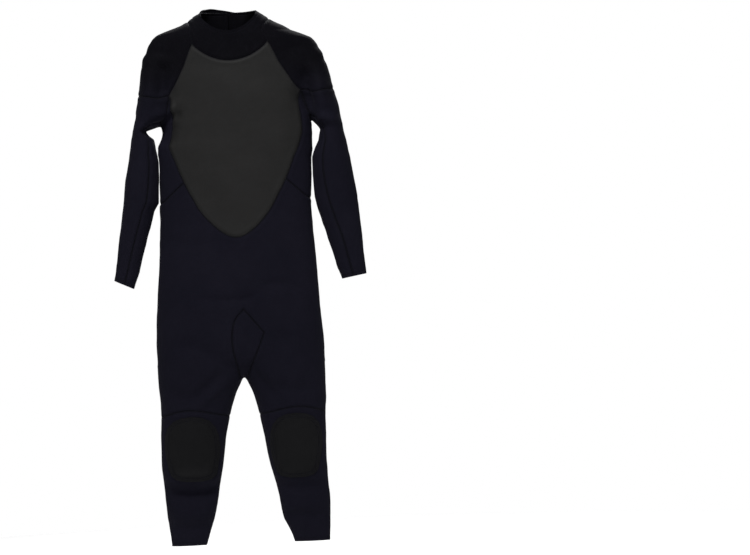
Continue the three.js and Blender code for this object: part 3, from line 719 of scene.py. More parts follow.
# ---- how the hung cloth creases ----
# each fold runs along a chalk line; wide and high are in millimetres, and a valley is less than nothing high
folds = [
    # front of the right shoulder and arm
    {"line": [(-192, -85), (-204, -150), (-206, -215)], "wide": 20, "high": -20.4, "back": False},
    {"line": [(-240, -110), (-244, -170), (-240, -215)], "wide": 16, "high": 8.5, "back": False},
    {"line": [(-160, -222), (-195, -240), (-238, -256)], "wide": 13, "high": 8.0, "back": False},
    {"line": [(-150, -236), (-180, -256), (-208, -268)], "wide": 9, "high": -9.0, "back": False},
    {"line": [(-238, -200), (-262, -230), (-275, -262)], "wide": 14, "high": 8.5, "back": False},
    {"line": [(-175, -262), (-185, -300), (-186, -345)], "wide": 14, "high": -10.2, "back": False},
    # front of the left shoulder and arm
    {"line": [(214, -120), (200, -188), (208, -262)], "wide": 17, "high": -21.0, "back": False},
    {"line": [(246, -150), (240, -205), (246, -262)], "wide": 13, "high": 10.2, "back": False},
    {"line": [(185, -215), (192, -250), (196, -300)], "wide": 9, "high": 6.8, "back": False},
    {"line": [(232, -262), (256, -278), (280, -283)], "wide": 9, "high": 8.5, "back": False},
    # belly and seat
    {"line": [(-110, -766), (0, -771), (70, -752)], "wide": 8, "high": -4.1, "back": False},
    {"line": [(60, -735), (120, -730), (200, -762)], "wide": 9, "high": -4.1, "back": False},
    {"line": [(-190, -880), (-120, -905), (-60, -935)], "wide": 14, "high": -4.2, "back": False},
    {"line": [(75, -860), (130, -905), (175, -975)], "wide": 16, "high": -5.1, "back": False},
    {"line": [(-205, -600), (-120, -612), (-40, -606)], "wide": 16, "high": -2.7, "back": False},
    # thighs
    {"line": [(-40, -960), (-95, -1005), (-150, -1062)], "wide": 11, "high": -6.8, "back": False},
    {"line": [(-60, -1010), (-100, -1040), (-125, -1072)], "wide": 9, "high": 5.1, "back": False},
    {"line": [(28, -965), (60, -1012), (110, -1062)], "wide": 12, "high": -6.8, "back": False},
    {"line": [(85, -1008), (140, -1030), (200, -1022)], "wide": 14, "high": -6.0, "back": False},
    {"line": [(-215, -1010), (-170, -1035), (-130, -1038)], "wide": 12, "high": -4.2, "back": False},
    # shins
    {"line": [(-66, -1258), (-150, -1264), (-240, -1262)], "wide": 15, "high": 10, "back": False},
    {"line": [(-66, -1298), (-150, -1306), (-240, -1304)], "wide": 14, "high": -14, "back": False},
    {"line": [(-70, -1358), (-158, -1366), (-240, -1358)], "wide": 18, "high": 8, "back": False},
    {"line": [(-90, -1396), (-158, -1404), (-230, -1396)], "wide": 8, "high": -3.3, "back": False},
    {"line": [(60, -1262), (150, -1266), (236, -1258)], "wide": 16, "high": 4.4, "back": False},
    {"line": [(60, -1296), (150, -1304), (240, -1300)], "wide": 14, "high": -6.0, "back": False},
    {"line": [(84, -1362), (140, -1352), (236, -1340)], "wide": 13, "high": 4.4, "back": False},
    {"line": [(84, -1384), (140, -1376), (220, -1392)], "wide": 10, "high": -3.9, "back": False},
    # back of the shoulders and arms
    {"line": [(238, -80), (222, -180), (206, -274)], "wide": 18, "high": -21.0, "back": True},
    {"line": [(196, -196), (196, -228), (199, -258)], "wide": 8, "high": 13.0, "back": True},
    {"line": [(202, -262), (184, -276), (160, -284)], "wide": 9, "high": -13.6, "back": True},
    {"line": [(262, -150), (262, -230), (250, -320)], "wide": 16, "high": 8.5, "back": True},
    {"line": [(-198, -120), (-208, -210), (-214, -320)], "wide": 14, "high": -21.0, "back": True},
    {"line": [(-232, -150), (-236, -220), (-236, -300)], "wide": 10, "high": 10.2, "back": True},
    {"line": [(-186, -160), (-188, -230), (-196, -300)], "wide": 9, "high": 5.1, "back": True},
    # back of the collar, seat and legs
    {"line": [(36, 36), (34, -10), (26, -50)], "wide": 6, "high": -6.8, "back": True},
    {"line": [(62, 30), (58, 0), (54, -30)], "wide": 8, "high": 5.1, "back": True},
    {"line": [(-20, -745), (-90, -752), (-160, -748)], "wide": 9, "high": -4.1, "back": True},
    {"line": [(-30, -800), (-70, -850), (-160, -875)], "wide": 16, "high": -5.1, "back": True},
    {"line": [(120, -770), (100, -830), (40, -860)], "wide": 18, "high": -5.1, "back": True},
    {"line": [(210, -985), (160, -1015), (90, -1030)], "wide": 13, "high": -7.6, "back": True},
    {"line": [(-50, -970), (-110, -1000), (-180, -1020)], "wide": 15, "high": -5.1, "back": True},
    {"line": [(236, -1262), (150, -1268), (66, -1250)], "wide": 15, "high": 4.2, "back": True},
    {"line": [(236, -1296), (158, -1302), (74, -1286)], "wide": 13, "high": -6.8, "back": True},
    {"line": [(236, -1352), (160, -1350), (90, -1342)], "wide": 18, "high": 4.2, "back": True},
    {"line": [(-236, -1282), (-190, -1266), (-140, -1252)], "wide": 9, "high": -6.0, "back": True},
    {"line": [(-226, -1316), (-160, -1318), (-80, -1312)], "wide": 10, "high": -4.2, "back": True},
    {"line": [(-230, -1352), (-160, -1356), (-90, -1352)], "wide": 9, "high": 5.1, "back": True},
]
wobble = [(6.0, 2.6), (17.0, 1.1), (45.0, 0.35)]  # waves per metre and millimetres high
# how far sideways the suit hangs from its even form: at each height, (x, shift) across it, in millimetres
fit = [
    (60, [(0, 0)]),
    (23, [(-89, -9), (0, 0), (95, 6)]),
    (0, [(-121, -7), (0, 0), (145, 0)]),
    (-22, [(-172, -14), (0, 0), (199, -16)]),
    (-44, [(-211, -4), (0, 0), (222, 9)]),
    (-67, [(-228, -2), (0, 0), (234, 14)]),
    (-112, [(-258, 12), (0, 0), (262, 3)]),
    (-156, [(-272, 17), (0, 0), (272, 6)]),
    (-201, [(-281, 19), (0, 0), (282, 6)]),
    (-246, [(-291, 20), (0, 0), (287, 10)]),
    (-291, [(-293, 11), (-221, -22), (-202, 5), (0, 0), (200, 17), (234, 6), (292, 14)]),
    (-313, [(-295, 9), (-237, 11), (-199, -2), (0, 0), (199, 20), (230, 6), (296, 13)]),
    (-336, [(-299, 10), (-234, 13), (-200, -13), (0, 0), (202, 17), (223, 8), (300, 14)]),
    (-358, [(-303, 10), (-225, 9), (-205, -9), (0, 0), (206, 13), (222, 1), (304, 14)]),
    (-380, [(-307, 9), (-225, 12), (-208, -4), (0, 0), (208, 6), (221, -6), (308, 15)]),
    (-425, [(-314, 7), (-224, 10), (-212, -1), (0, 0), (210, 3), (221, -8), (315, 14)]),
    (-492, [(-325, 9), (-228, 10), (-213, -1), (0, 0), (209, -2), (230, -10), (323, 15)]),
    (-515, [(-328, 8), (-233, 1), (-212, -6), (0, 0), (207, 0), (235, -10), (327, 14)]),
    (-560, [(-333, 6), (-244, 1), (-209, -8), (0, 0), (206, 4), (248, -10), (332, 11)]),
    (-604, [(-338, 3), (-258, 1), (-210, -10), (0, 0), (211, 1), (260, -8), (336, 11)]),
    (-683, [(-345, -1), (-280, 1), (-218, -7), (0, 0), (218, -2), (284, -9), (346, 8)]),
    (-828, [(-229, -9), (0, 0), (228, -6)]),
    (-918, [(-233, -9), (0, 0), (229, -3)]),
    (-1008, [(-231, -9), (-18, 5), (16, -2), (228, -3)]),
    (-1052, [(-230, -7), (-35, 2), (33, -3), (226, -1)]),
    (-1142, [(-229, -11), (-57, 0), (55, -7), (227, -6)]),
    (-1232, [(-229, -12), (-71, 1), (70, -7), (228, -8)]),
    (-1321, [(-225, -7), (-92, 4), (89, -4), (227, -2)]),
    (-1388, [(-225, -5), (-104, 2), (107, -8), (219, 2)]),
    (-1433, [(-218, -5), (-122, 4), (123, -3), (215, 5)]),
    (-1500, [(-219, -3), (-116, 3), (116, -3), (214, 6)])]


def ease(t):
    t = np.clip(t, 0, 1)
    return t * t * (3 - 2 * t)


def foldHeight(rest):
    x, y, z = (rest[:, i] / mm for i in range(3))
    front, behind = ease((-y - 2) / 26), ease((y - 2) / 26)
    total = np.zeros(len(rest))
    for fold in folds:
        line = np.array(smoothLine(fold["line"], 4))
        reach = 3.2 * fold["wide"]
        low, high = line.min(0) - reach, line.max(0) + reach
        near = np.flatnonzero((x > low[0]) & (x < high[0]) & (z > low[1]) & (z < high[1]))
        best = np.full(len(near), 1e9)
        place = np.zeros(len(near))
        for i, (a, b) in enumerate(zip(line, line[1:])):
            along = b - a
            t = np.clip(((x[near] - a[0]) * along[0] + (z[near] - a[1]) * along[1]) / along.dot(along), 0, 1)
            off = (x[near] - a[0] - t * along[0]) ** 2 + (z[near] - a[1] - t * along[1]) ** 2
            closer = off < best
            best[closer], place[closer] = off[closer], (i + t[closer]) / (len(line) - 1)
        shape = np.exp(-best / (2 * fold["wide"] ** 2)) * (0.25 + 0.75 * ease(np.minimum(place, 1 - place) / 0.3))
        side = (behind if fold["back"] else front)[near]
        total[near] += fold["high"] * shape * side
    return total


def hang(rest, outward):
    # where the points of the smooth form lie on the hanging suit
    height = foldHeight(rest)
    for scale, high in wobble:
        offset = Vector((3.1, 7.7, 1.3)) * scale
        height += high * np.array([noise.noise(Vector(p) * scale + offset) for p in rest])
    calm = (rest[:, 1] > 0) * (1 - ease((np.abs(rest[:, 0]) / mm - 14) / 26)) * ease((rest[:, 2] / mm + 540) / 40)
    height *= 1 - calm
    out = rest + outward * (height * mm)[:, None]
    x, z = rest[:, 0] / mm, rest[:, 2] / mm
    for (high, above), (low, below) in zip(fit, fit[1:]):
        here = (z <= high) & (z > low)
        t = (high - z[here]) / (high - low)
        shifts = [np.interp(x[here], *zip(*row)) for row in (above, below)]
        out[here, 0] += (shifts[0] * (1 - t) + shifts[1] * t) * mm
    return out


# ---- where each point is along the nearest seam or hem ----
def chains(bm, edges):
    # every edge with the distance along its line at its two ends
    at = {}
    for edge in edges:
        for vert in edge.verts:
            at.setdefault(vert.index, []).append(edge)
    todo = set(edges)
    out = []
    starts = [i for i, found in at.items() if len(found) != 2] + list(at)
    for start in starts:
        while True:
            edge = next((e for e in at[start] if e in todo), None)
            if edge is None:
                break
            here, along = start, 0.0
            while edge is not None:
                todo.discard(edge)
                a = edge.verts[0] if edge.verts[0].index == here else edge.verts[1]
                b = edge.other_vert(a)
                length = edge.calc_length()
                out.append((a.co.copy(), b.co.copy(), along, length))
                along += length
                here = b.index
                edge = next((e for e in at[here] if e in todo), None) if len(at[here]) == 2 else None
    return out


def lineField(points, lines, reach=0.016):
    # distance to the nearest line, and the place along it
    off = np.full(len(points), 0.05)
    along = np.zeros(len(points))
    if not lines:
        return off, along
    tree = KDTree(len(lines))
    for i, (a, b, _, _) in enumerate(lines):
        tree.insert((a + b) / 2, i)
    tree.balance()
    for k, p in enumerate(points):
        p = Vector(p)
        if tree.find(p)[2] > reach:
            continue
        for _, i, _ in tree.find_n(p, 6):
            a, b, start, length = lines[i]
            t = min(max((p - a).dot(b - a) / max(length * length, 1e-12), 0), 1)
            distance = (p - a - (b - a) * t).length
            if distance < off[k]:
                off[k], along[k] = distance, start + t * length
    return off, along


# ---- the panels of the suit ----
limbs = {"body": ((0, 0), (0, -1000)), "yoke": ((120, -60), (250, -230)), "arm": ((262, -300), (270, -460)),
         "forearm": ((270, -460), (319, -708)), "thigh": ((112, -960), (146, -1198)),
         "shin": ((146, -1198), (171, -1456))}
moves = {"shoulder": ("suit_body", "upper_arm"), "elbow": ("upper_arm", "forearm"),
         "hip": ("suit_body", "thigh"), "knee": ("thigh", "shin")}
singles = {  # a point on the panel, whether it is on the back, and the CAD node it stands for
    "chest": {"at": (0, -300), "back": False, "node": "chest_panel"},
    "collar": {"at": (0, -60), "back": False, "node": "collar"},
    "front_body": {"at": (0, -700), "back": False, "node": "front_body_panel"},
    "gusset": {"at": (20, -870), "back": False, "node": "crotch_gusset"}}
pairs = {
    "yoke": {"at": (190, -120), "back": False, "limb": "yoke", "node": "raglan_yoke"},
    "side": {"at": (190, -400), "back": False, "node": "side_panel"},
    "back": {"at": (60, -300), "back": True, "node": "back_panel"},
    "seat": {"at": (90, -750), "back": True, "node": "seat_panel"},
    "arm_outer": {"at": (285, -380), "back": False, "limb": "arm", "hinge": "shoulder", "node": "sleeve_upper_outer"},
    "arm_inner": {"at": (255, -400), "back": True, "limb": "arm", "hinge": "shoulder", "node": "sleeve_upper_inner"},
    "forearm_outer": {"at": (318, -620), "back": False, "limb": "forearm", "hinge": "elbow", "node": "forearm_outer"},
    "forearm_inner": {"at": (290, -620), "back": True, "limb": "forearm", "hinge": "elbow", "node": "forearm_inner"},
    "thigh_front": {"at": (130, -1040), "back": False, "limb": "thigh", "hinge": "hip", "node": "thigh_front"},
    "thigh_back": {"at": (130, -1030), "back": True, "limb": "thigh", "hinge": "hip", "node": "thigh_back"},
    "shin_front": {"at": (160, -1350), "back": False, "limb": "shin", "hinge": "knee", "node": "shin_front"},
    "calf": {"at": (160, -1350), "back": True, "limb": "shin", "hinge": "knee", "node": "calf"}}
wall = 3.5  # the neoprene's thickness, in millimetres

panels = {f"{name}_cloth": {"side": 1, **what, "nodes": [what["node"]]} for name, what in singles.items()}
for end, side in ends:
    for name, what in pairs.items():
        at = (what["at"][0] * side, what["at"][1])
        nodes = [f"{what['node']}_{end}"]
        panels[f"{name}_cloth_{end}"] = {**what, "at": at, "side": side, "end": end, "nodes": nodes}


def move(obj, what):
    hinge = what.get("hinge")
    if hinge is None:
        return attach(obj, what.get("body", "suit_body"))
    first, second = moves[hinge]
    first = first if first == "suit_body" else f"{first}_{what['end']}"
    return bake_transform(obj)


def setAttribute(mesh, name, values, kind="FLOAT"):
    made = mesh.attributes.new(name, kind, "POINT")
    field = "vector" if kind == "FLOAT_VECTOR" else "value"
    made.data.foreach_set(field, np.ascontiguousarray(values, np.float32).ravel())


def clothPlace(rest, what):
    # flat cloth coordinates: across the panel round the limb, and along it
    a, b = (np.array([p[0] * what["side"], p[1]]) * mm for p in limbs[what.get("limb", "body")])
    along = (a - b) / np.linalg.norm(a - b)
    x, z = rest[:, 0] - a[0], rest[:, 2] - a[1]
    across = x * along[1] - z * along[0]
    depth = np.abs(rest[:, 1]).max()
    round_ = np.sign(across) * (np.abs(across) + depth - np.abs(rest[:, 1]))
    return np.stack([round_, np.zeros(len(rest)), x * along[0] + z * along[1]], 1)


def sharpRims(bm):
    for edge in bm.edges:
        edge.smooth = not edge.is_boundary


def makePanels(bm, mark):
    bm.faces.ensure_lookup_table()
    bm.verts.index_update()
    bm.faces.index_update()
    tree = BVHTree.FromBMesh(bm)
    names = list(panels)
    owner = np.full(len(bm.faces), -1)
    for number, what in enumerate(panels.values()):
        toward = -1 if what["back"] else 1
        x, z = what["at"]
        hit = tree.ray_cast(Vector((x * mm, -toward, z * mm)), Vector((0, toward, 0)))[2]
        if hit is None or owner[hit] >= 0:
            print("no panel of its own:", names[number], "" if hit is None else names[owner[hit]])
            continue
        owner[hit] = number
        stack = [bm.faces[hit]]
        while stack:
            for edge in stack.pop().edges:
                if edge[mark]:
                    continue
                for face in edge.link_faces:
                    if owner[face.index] < 0:
                        owner[face.index] = number
                        stack.append(face)
    # a sliver between two cuts goes with its neighbour
    loose = [bm.faces[i] for i in np.flatnonzero(owner < 0)]
    print("faces in slivers:", len(loose))
    while loose:
        found = {}
        for face in loose:
            near = [owner[f.index] for e in face.edges for f in e.link_faces if owner[f.index] >= 0]
            if near:
                found[face] = near[0]
        if not found:
            break
        for face, number in found.items():
            owner[face.index] = number
        loose = [face for face in loose if face not in found]
    seams = [e for e in bm.edges if e[mark] == sewn and len(e.link_faces) == 2
             and owner[e.link_faces[0].index] != owner[e.link_faces[1].index]]
    hems = [e for e in bm.edges if e.is_boundary]
    rest = np.array([v.co for v in bm.verts])
    outward = bm.verts.layers.float_vector["outward"]
    normals = np.array([v[outward] for v in bm.verts])
    normals /= np.maximum(np.linalg.norm(normals, axis=1), 1e-9)[:, None]
    seamOff, seamAlong = lineField(rest, chains(bm, seams))
    hemOff, hemAlong = lineField(rest, chains(bm, hems), 0.03)
    hung = hang(rest, normals)
    dip = -1.4 * np.exp(-(seamOff / 0.0028) ** 2) + 0.7 * np.exp(-((seamOff - 0.009) / 0.006) ** 2)
    hung += normals * (dip * mm)[:, None]
    for vert, place in zip(bm.verts, hung):
        vert.co = place
    whole = fromBmesh("suit", bm)
    mesh = whole.data
    setAttribute(mesh, "place", rest, "FLOAT_VECTOR")
    setAttribute(mesh, "seamOff", seamOff)
    setAttribute(mesh, "seamAlong", seamAlong)
    setAttribute(mesh, "hemOff", np.abs(hemOff - 0.008))
    setAttribute(mesh, "hemAlong", hemAlong)
    number = mesh.attributes.new("number", "INT", "FACE")
    number.data.foreach_set("value", owner.astype(np.int32))
    for name in names:
        mesh.materials.append(bpy.data.materials.new(name + "_chalk"))
    mesh.polygons.foreach_set("material_index", np.maximum(owner, 0).astype(np.int32))
    bpy.ops.object.select_all(action="DESELECT")
    bpy.context.view_layer.objects.active = whole
    whole.select_set(True)
    bpy.ops.object.mode_set(mode="EDIT")
    bpy.ops.mesh.select_all(action="SELECT")
    bpy.ops.mesh.separate(type="MATERIAL")
    bpy.ops.object.mode_set(mode="OBJECT")
    cut = {obj.data.attributes["number"].data[0].value: obj for obj in bpy.context.selected_objects}
    for number in sorted(cut):
        cut[number].select_set(False)
        finishPanel(cut[number], names[number], panels[names[number]])
    for name in names:
        bpy.data.materials.remove(bpy.data.materials[name + "_chalk"])


def finishPanel(obj, name, what):
    obj.name = name
    mesh = obj.data
    mesh.materials.clear()
    for material in (skin if name == "chest_cloth" else jersey, lining, cutEdge):
        mesh.materials.append(material)
    mesh.polygons.foreach_set("material_index", [0] * len(mesh.polygons))
    rest = np.zeros(len(mesh.vertices) * 3, np.float32)
    mesh.attributes["place"].data.foreach_get("vector", rest)
    setAttribute(mesh, "cloth", clothPlace(rest.reshape(-1, 3), what), "FLOAT_VECTOR")
    for unused in ("number", "outward", "mark"):
        mesh.attributes.remove(mesh.attributes[unused])
    bm = bmesh.new()
    bm.from_mesh(mesh)
    sharpRims(bm)
    area = sum(f.calc_area() for f in bm.faces)
    bm.to_mesh(mesh)
    bm.free()
    thicken(obj, wall)
    move(obj, what)
    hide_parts(*what["nodes"])


def thicken(obj, thick, rounding=0):
    solid = obj.modifiers.new("thickness", "SOLIDIFY")
    solid.thickness = thick * mm
    solid.offset = -1
    solid.material_offset = 1
    solid.material_offset_rim = 2
    if rounding:
        bevel = obj.modifiers.new("edge", "BEVEL")
        bevel.width = rounding * mm
        bevel.segments = 2
        bevel.limit_method = "ANGLE"
        bevel.angle_limit = math.radians(50)


makePanels(bm, markLayer)
print("panels made")


# ---- patches that are sewn on: cut from the same form, and laid over it or under it ----
def rounded(corners, radius, steps=5):
    out = []
    count = len(corners)
    for i, corner in enumerate(corners):
        before, here, after = (np.array(corners[j], float) for j in ((i - 1) % count, i, (i + 1) % count))
        a, b = (before - here), (after - here)
        a, b = here + a / np.linalg.norm(a) * radius, here + b / np.linalg.norm(b) * radius
        for t in np.linspace(0, 1, steps):
            out.append(tuple((1 - t) ** 2 * a + 2 * t * (1 - t) * here + t * t * b))
    return out


def box(x0, x1, z0, z1):
    return [(x0, z0), (x1, z0), (x1, z1), (x0, z1)]


def outlineField(points, corners, inset):
    # how far the points are from a line of stitches set in from the outline, and where along it
    x, z = points[:, 0] / mm, points[:, 2] / mm
    best = np.full(len(points), 1e9)
    along = np.zeros(len(points))
    start = 0.0
    for a, b in zip(corners, corners[1:] + corners[:1]):
        a, b = np.array(a), np.array(b)
        length = max(np.linalg.norm(b - a), 1e-6)
        t = np.clip(((x - a[0]) * (b - a)[0] + (z - a[1]) * (b - a)[1]) / length ** 2, 0, 1)
        off = np.hypot(x - a[0] - t * (b - a)[0], z - a[1] - t * (b - a)[1])
        closer = off < best
        best[closer], along[closer] = off[closer], start + t[closer] * length
        start += length
    return np.abs(best - inset) * mm, along * mm, best


def makePatch(name, look):
    corners = look["outline"]
    low, high = np.array(corners).min(0) - 8, np.array(corners).max(0) + 8
    bm = bmesh.new()
    bm.from_mesh(restMesh)
    away = []
    for face in bm.faces:
        c = face.calc_center_median() / mm
        if (c.y > 0) != look["back"] or not (low[0] < c.x < high[0] and low[1] < c.z < high[1]):
            away.append(face)
    bmesh.ops.delete(bm, geom=away, context="FACES")
    for _ in range(look.get("finer", 0)):
        bmesh.ops.subdivide_edges(bm, edges=bm.edges[:], cuts=1, use_grid_fill=True)
    for a, b in zip(corners, corners[1:] + corners[:1]):
        normal = Vector((b[1] - a[1], 0, a[0] - b[0]))
        if normal.length < 0.05:
            continue
        bmesh.ops.bisect_plane(bm, geom=bm.faces[:] + bm.edges[:] + bm.verts[:], dist=1e-6,
                               plane_co=(a[0] * mm, 0, a[1] * mm), plane_no=normal, clear_outer=True)
    rest = np.array([v.co for v in bm.verts])
    outward = bm.verts.layers.float_vector["outward"]
    normals = np.array([v[outward] for v in bm.verts])
    normals /= np.maximum(np.linalg.norm(normals, axis=1), 1e-9)[:, None]
    stitchOff, stitchAlong, inside = outlineField(rest, corners, look.get("stitch", 3))
    rise = look["top"] - look.get("crown", 0) * np.exp(-inside / 4)
    hung = hang(rest, normals) + normals * (rise * mm)[:, None]
    for vert, place in zip(bm.verts, hung):
        vert.co = place
    sharpRims(bm)
    obj = fromBmesh(name, bm, look["materials"])
    mesh = obj.data
    setAttribute(mesh, "place", rest, "FLOAT_VECTOR")
    setAttribute(mesh, "cloth", clothPlace(rest, {"side": 1, **look}), "FLOAT_VECTOR")
    second = np.abs(inside - look["second"]) * mm if "second" in look else np.full(len(rest), 0.05)
    setAttribute(mesh, "seamOff", second)
    setAttribute(mesh, "seamAlong", stitchAlong)
    setAttribute(mesh, "hemOff", stitchOff)
    setAttribute(mesh, "hemAlong", stitchAlong)
    mesh.attributes.remove(mesh.attributes["outward"])
    thicken(obj, look["thick"], look.get("rounding", 0))
    move(obj, look)
    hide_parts(*look["nodes"])
    return obj


flapOutline = rounded([(-6, -101), (24, 34), (-12, 43), (-45, 48), (-69, 40), (-82, 17)], 7)
padOutline = [(0, 94), (-27, 90.5), (-48, 81), (-63, 63), (-70, 40), (-72, 8), (-69, -22), (-62, -56), (-55, -74),
              (-42, -86), (-20, -91.5), (0, -92)]
padOutline = padOutline + [(-x, z) for x, z in padOutline[-2:0:-1]]
patches = {
    "collar_flap_cloth": {"outline": flapOutline, "back": True, "top": 6.6, "thick": 3.2, "crown": 0.5, "stitch": 6,
                          "rounding": 0.7, "body": "collar_flap", "materials": (jersey, lining, cutEdge),
                          "nodes": ["collar_flap"], "slot": "lined_neoprene"},
    "hook_pad": {"outline": rounded(box(-74, -48, 6, 32), 4), "back": True, "top": 3.1, "thick": 1.2, "stitch": 2,
                 "body": "collar_flap", "materials": (hookPile, hookPile, hookPile), "nodes": ["hook_patch"],
                 "slot": "hook_and_loop"},
    "loop_pad": {"outline": rounded(box(-92, -46, 2, 30), 4), "back": True, "top": 1.6, "thick": 1.2, "stitch": 2,
                 "materials": (loopPile, loopPile, loopPile), "nodes": ["loop_patch"], "slot": "hook_and_loop"},
    "keeper_tab": {"outline": rounded(box(-52, -25, -84, -60), 3), "back": True, "top": 2.8, "thick": 2.2,
                   "stitch": 2, "crown": 0.5, "rounding": 0.5, "materials": (loopPile, hookPile, loopPile),
                   "nodes": ["leash_keeper"], "slot": "hook_and_loop"},
    "zip_backing_cloth": {"outline": box(-34, 23, -503, -64), "back": True, "top": -8.5, "thick": 2.4,
                          "materials": (lining, lining, cutEdge), "nodes": ["zip_backing_flap"],
                          "slot": "lined_neoprene"}}
for end, side in ends:
    strip = [(side * x, z) for x, z in box(1, 18, -494, -112)]
    patches[f"zip_tape_cloth_{end}"] = {
        "outline": strip if side > 0 else strip[::-1], "back": True, "top": -4.0, "thick": 1.1, "stitch": 6,
        "materials": (zipTape, zipTape, zipTape), "nodes": [f"zip_tape_{end}"], "slot": "zip_tape"}
    patches[f"knee_pad_cloth_{end}"] = {
        "outline": [(side * 146 + x, -1183 + z * 0.97) for x, z in padOutline], "back": False, "top": 2.7,
        "thick": 2.3,
        "crown": 1.0, "stitch": 5, "second": 10, "rounding": 0.6, "limb": "shin", "hinge": "knee", "side": side,
        "end": end, "materials": (padSkin, lining, cutEdge),
        "nodes": [f"knee_pad_upper_{end}", f"knee_pad_lower_{end}"], "slot": "embossed_skin", "declare": "padded"}
for name, look in patches.items():
    corners = look["outline"]
    turn = sum(a[0] * b[1] - b[0] * a[1] for a, b in zip(corners, corners[1:] + corners[:1]))
    look["outline"] = corners if turn > 0 else corners[::-1]
    makePatch(name, look)
print("patches made")


# ---- zip teeth, slider, stops and leash ----
teeth = {"pitch": 2.5, "wide": 3.2, "tall": 1.55, "deep": 2.8, "top": -119, "foot": -483, "x": 2.55}
restTree = BVHTree.FromPolygons([v.co for v in restMesh.vertices], [p.vertices[:] for p in restMesh.polygons])
for end, side in ends:
    bm = bmesh.new()
    count = int((teeth["top"] - teeth["foot"]) / teeth["pitch"])
    for i in range(count):
        z = teeth["top"] - teeth["pitch"] * (i + (0.5 if side > 0 else 1.0))
        y = restTree.ray_cast(Vector((side * teeth["x"] * mm, 1, z * mm)), Vector((0, -1, 0)))[0].y
        size = Matrix.Diagonal((teeth["wide"] * mm, teeth["deep"] * mm, teeth["tall"] * mm, 1))
        place = Matrix.Translation((side * teeth["x"] * mm, y - 2.1 * mm, z * mm))
        bmesh.ops.create_cube(bm, size=1, matrix=place @ size)
    bmesh.ops.bevel(bm, geom=bm.edges[:], offset=0.45 * mm, segments=1, profile=0.5, affect="EDGES", material=-1)
    obj = fromBmesh(f"zip_teeth_{end}", bm, [toothPlastic])
    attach(obj, "suit_body")
    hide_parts(f"zip_coil_{end}")

for name in ("zip_slider", "zip_pull_tab", "zip_top_stop_left", "zip_top_stop_right", "zip_bottom_stop"):
    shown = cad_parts[name]
    shown.data.materials.clear()
    shown.data.materials.append(zipMetal)

leash = {"route": [(0, 74.4, -162), (-2, 78, -182), (-8, 83, -210), (-14, 86, -250), (-17, 87, -300), (-18, 87, -360),
                   (-19, 87, -420), (-22, 87, -480), (-26, 86, -540), (-30, 85, -590), (-33, 85, -640)],
         "width": 22, "thick": 1.8}


def ribbon(name, route, width, thick, twist=lambda t: 0.0):
    # a flat strap along the route, a ring of eight points at each step
    points = np.array(smoothLine(route, 6)) * mm
    bm = bmesh.new()
    loops = []
    places = []
    along = 0.0
    for i, p in enumerate(points):
        ahead = points[min(i + 1, len(points) - 1)] - points[max(i - 1, 0)]
        down = Vector(ahead).normalized()
        face = down.cross(Vector((1, 0, 0))).normalized()
        across = face.cross(down).normalized()
        angle = twist(i / (len(points) - 1))
        across, face = (across * math.cos(angle) + face * math.sin(angle),
                        face * math.cos(angle) - across * math.sin(angle))
        ring = bmesh.ops.create_circle(bm, segments=12, radius=1)["verts"]
        for vert in ring:
            u = math.copysign(abs(vert.co.x) ** 0.25, vert.co.x) * width / 2 * mm
            v = math.copysign(abs(vert.co.y) ** 0.6, vert.co.y) * thick / 2 * mm
            vert.co = Vector(p) + across * u + face * v
            places.append((u, 0, -along))
        loops.append(once(e for v in ring for e in v.link_edges))
        along += (Vector(points[min(i + 1, len(points) - 1)]) - Vector(p)).length
    for one, two in zip(loops, loops[1:]):
        bmesh.ops.bridge_loops(bm, edges=one + two)
    bmesh.ops.edgeloop_fill(bm, edges=loops[0])
    bmesh.ops.edgeloop_fill(bm, edges=loops[-1])
    bmesh.ops.recalc_face_normals(bm, faces=bm.faces)
    obj = fromBmesh(name, bm, [webbing])
    setAttribute(obj.data, "cloth", np.array(places), "FLOAT_VECTOR")
    setAttribute(obj.data, "place", [v.co[:] for v in obj.data.vertices], "FLOAT_VECTOR")
    obj.modifiers.new("smooth", "SUBSURF").levels = 1
    obj.modifiers["smooth"].render_levels = 1
    return obj, points, along


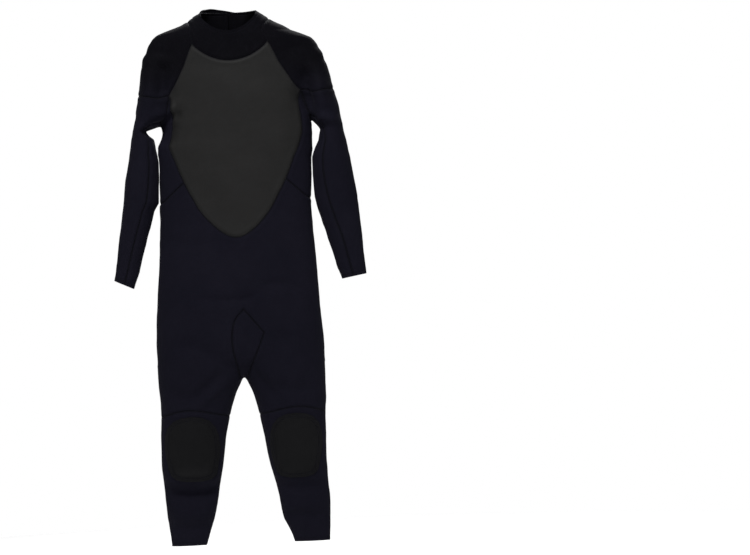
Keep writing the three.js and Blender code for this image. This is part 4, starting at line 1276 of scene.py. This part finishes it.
strap, path, pathLength = ribbon("leash_strap", leash["route"], leash["width"], leash["thick"],
                                 lambda t: 0.30 * math.sin(3.4 * t) + 0.9 * ease(t * 2.2 - 1.2))
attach(strap, "zip_pull_tab")
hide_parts("leash")
loopRoute = [(0, 76.2, -172), (0, 76.4, -162), (0, 76.2, -154.5), (0, 74.6, -151.4), (0, 72.6, -152.4),
             (0, 72.4, -158), (0, 73.6, -166), (-1, 75.6, -174)]
loop, _, _ = ribbon("leash_loop", loopRoute, 6.5, 0.9)
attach(loop, "zip_pull_tab")
print("zip and leash made, leash", round(pathLength, 3))


# ---- floor, light and air ----
bm = bmesh.new()
bmesh.ops.create_circle(bm, cap_ends=True, segments=96, radius=3.0)
bmesh.ops.translate(bm, vec=(0, 0, -1.62), verts=bm.verts)
paper, paperTree, paperShader = blank("floor_paper")
paperShader.inputs["Base Color"].default_value = (0.92, 0.92, 0.92, 1)
paperShader.inputs["Roughness"].default_value = 0.9
floor = fromBmesh("floor", bm, [paper], smooth=False)

world = bpy.data.worlds.new("air")
bpy.context.scene.world = world
world.use_nodes = True
# the air looks white, and lights the suit less than it looks
air = world.node_tree.nodes["Background"]
air.inputs["Color"].default_value = (1.0, 1.0, 1.0, 1)
seen = world.node_tree.nodes.new("ShaderNodeLightPath").outputs["Is Camera Ray"]
world.node_tree.links.new(remap(world.node_tree, seen, 0.0, 1.0, 0.17, 1.0), air.inputs["Strength"])
bpy.context.scene.view_settings.view_transform = "Standard"
lamps = {"key": {"at": (-0.5, -2.4, 2.5), "size": 1.2, "power": 190},
         "fill": {"at": (2.4, -3.6, 0.2), "size": 2.4, "power": 30},
         "back": {"at": (0.5, 2.4, 2.5), "size": 1.2, "power": 190}}
for name, lamp in lamps.items():
    data = bpy.data.lights.new(name, "AREA")
    data.shape = "DISK"
    data.size = lamp["size"]
    data.energy = lamp["power"]
    light = bpy.data.objects.new(name, data)
    light.location = lamp["at"]
    light.rotation_euler = (Vector((0, 0, -0.6)) - Vector(lamp["at"])).to_track_quat("-Z", "Y").to_euler()
    bpy.context.scene.collection.objects.link(light)

bpy.data.meshes.remove(restMesh)
bpy.context.view_layer.update()
print("finished")
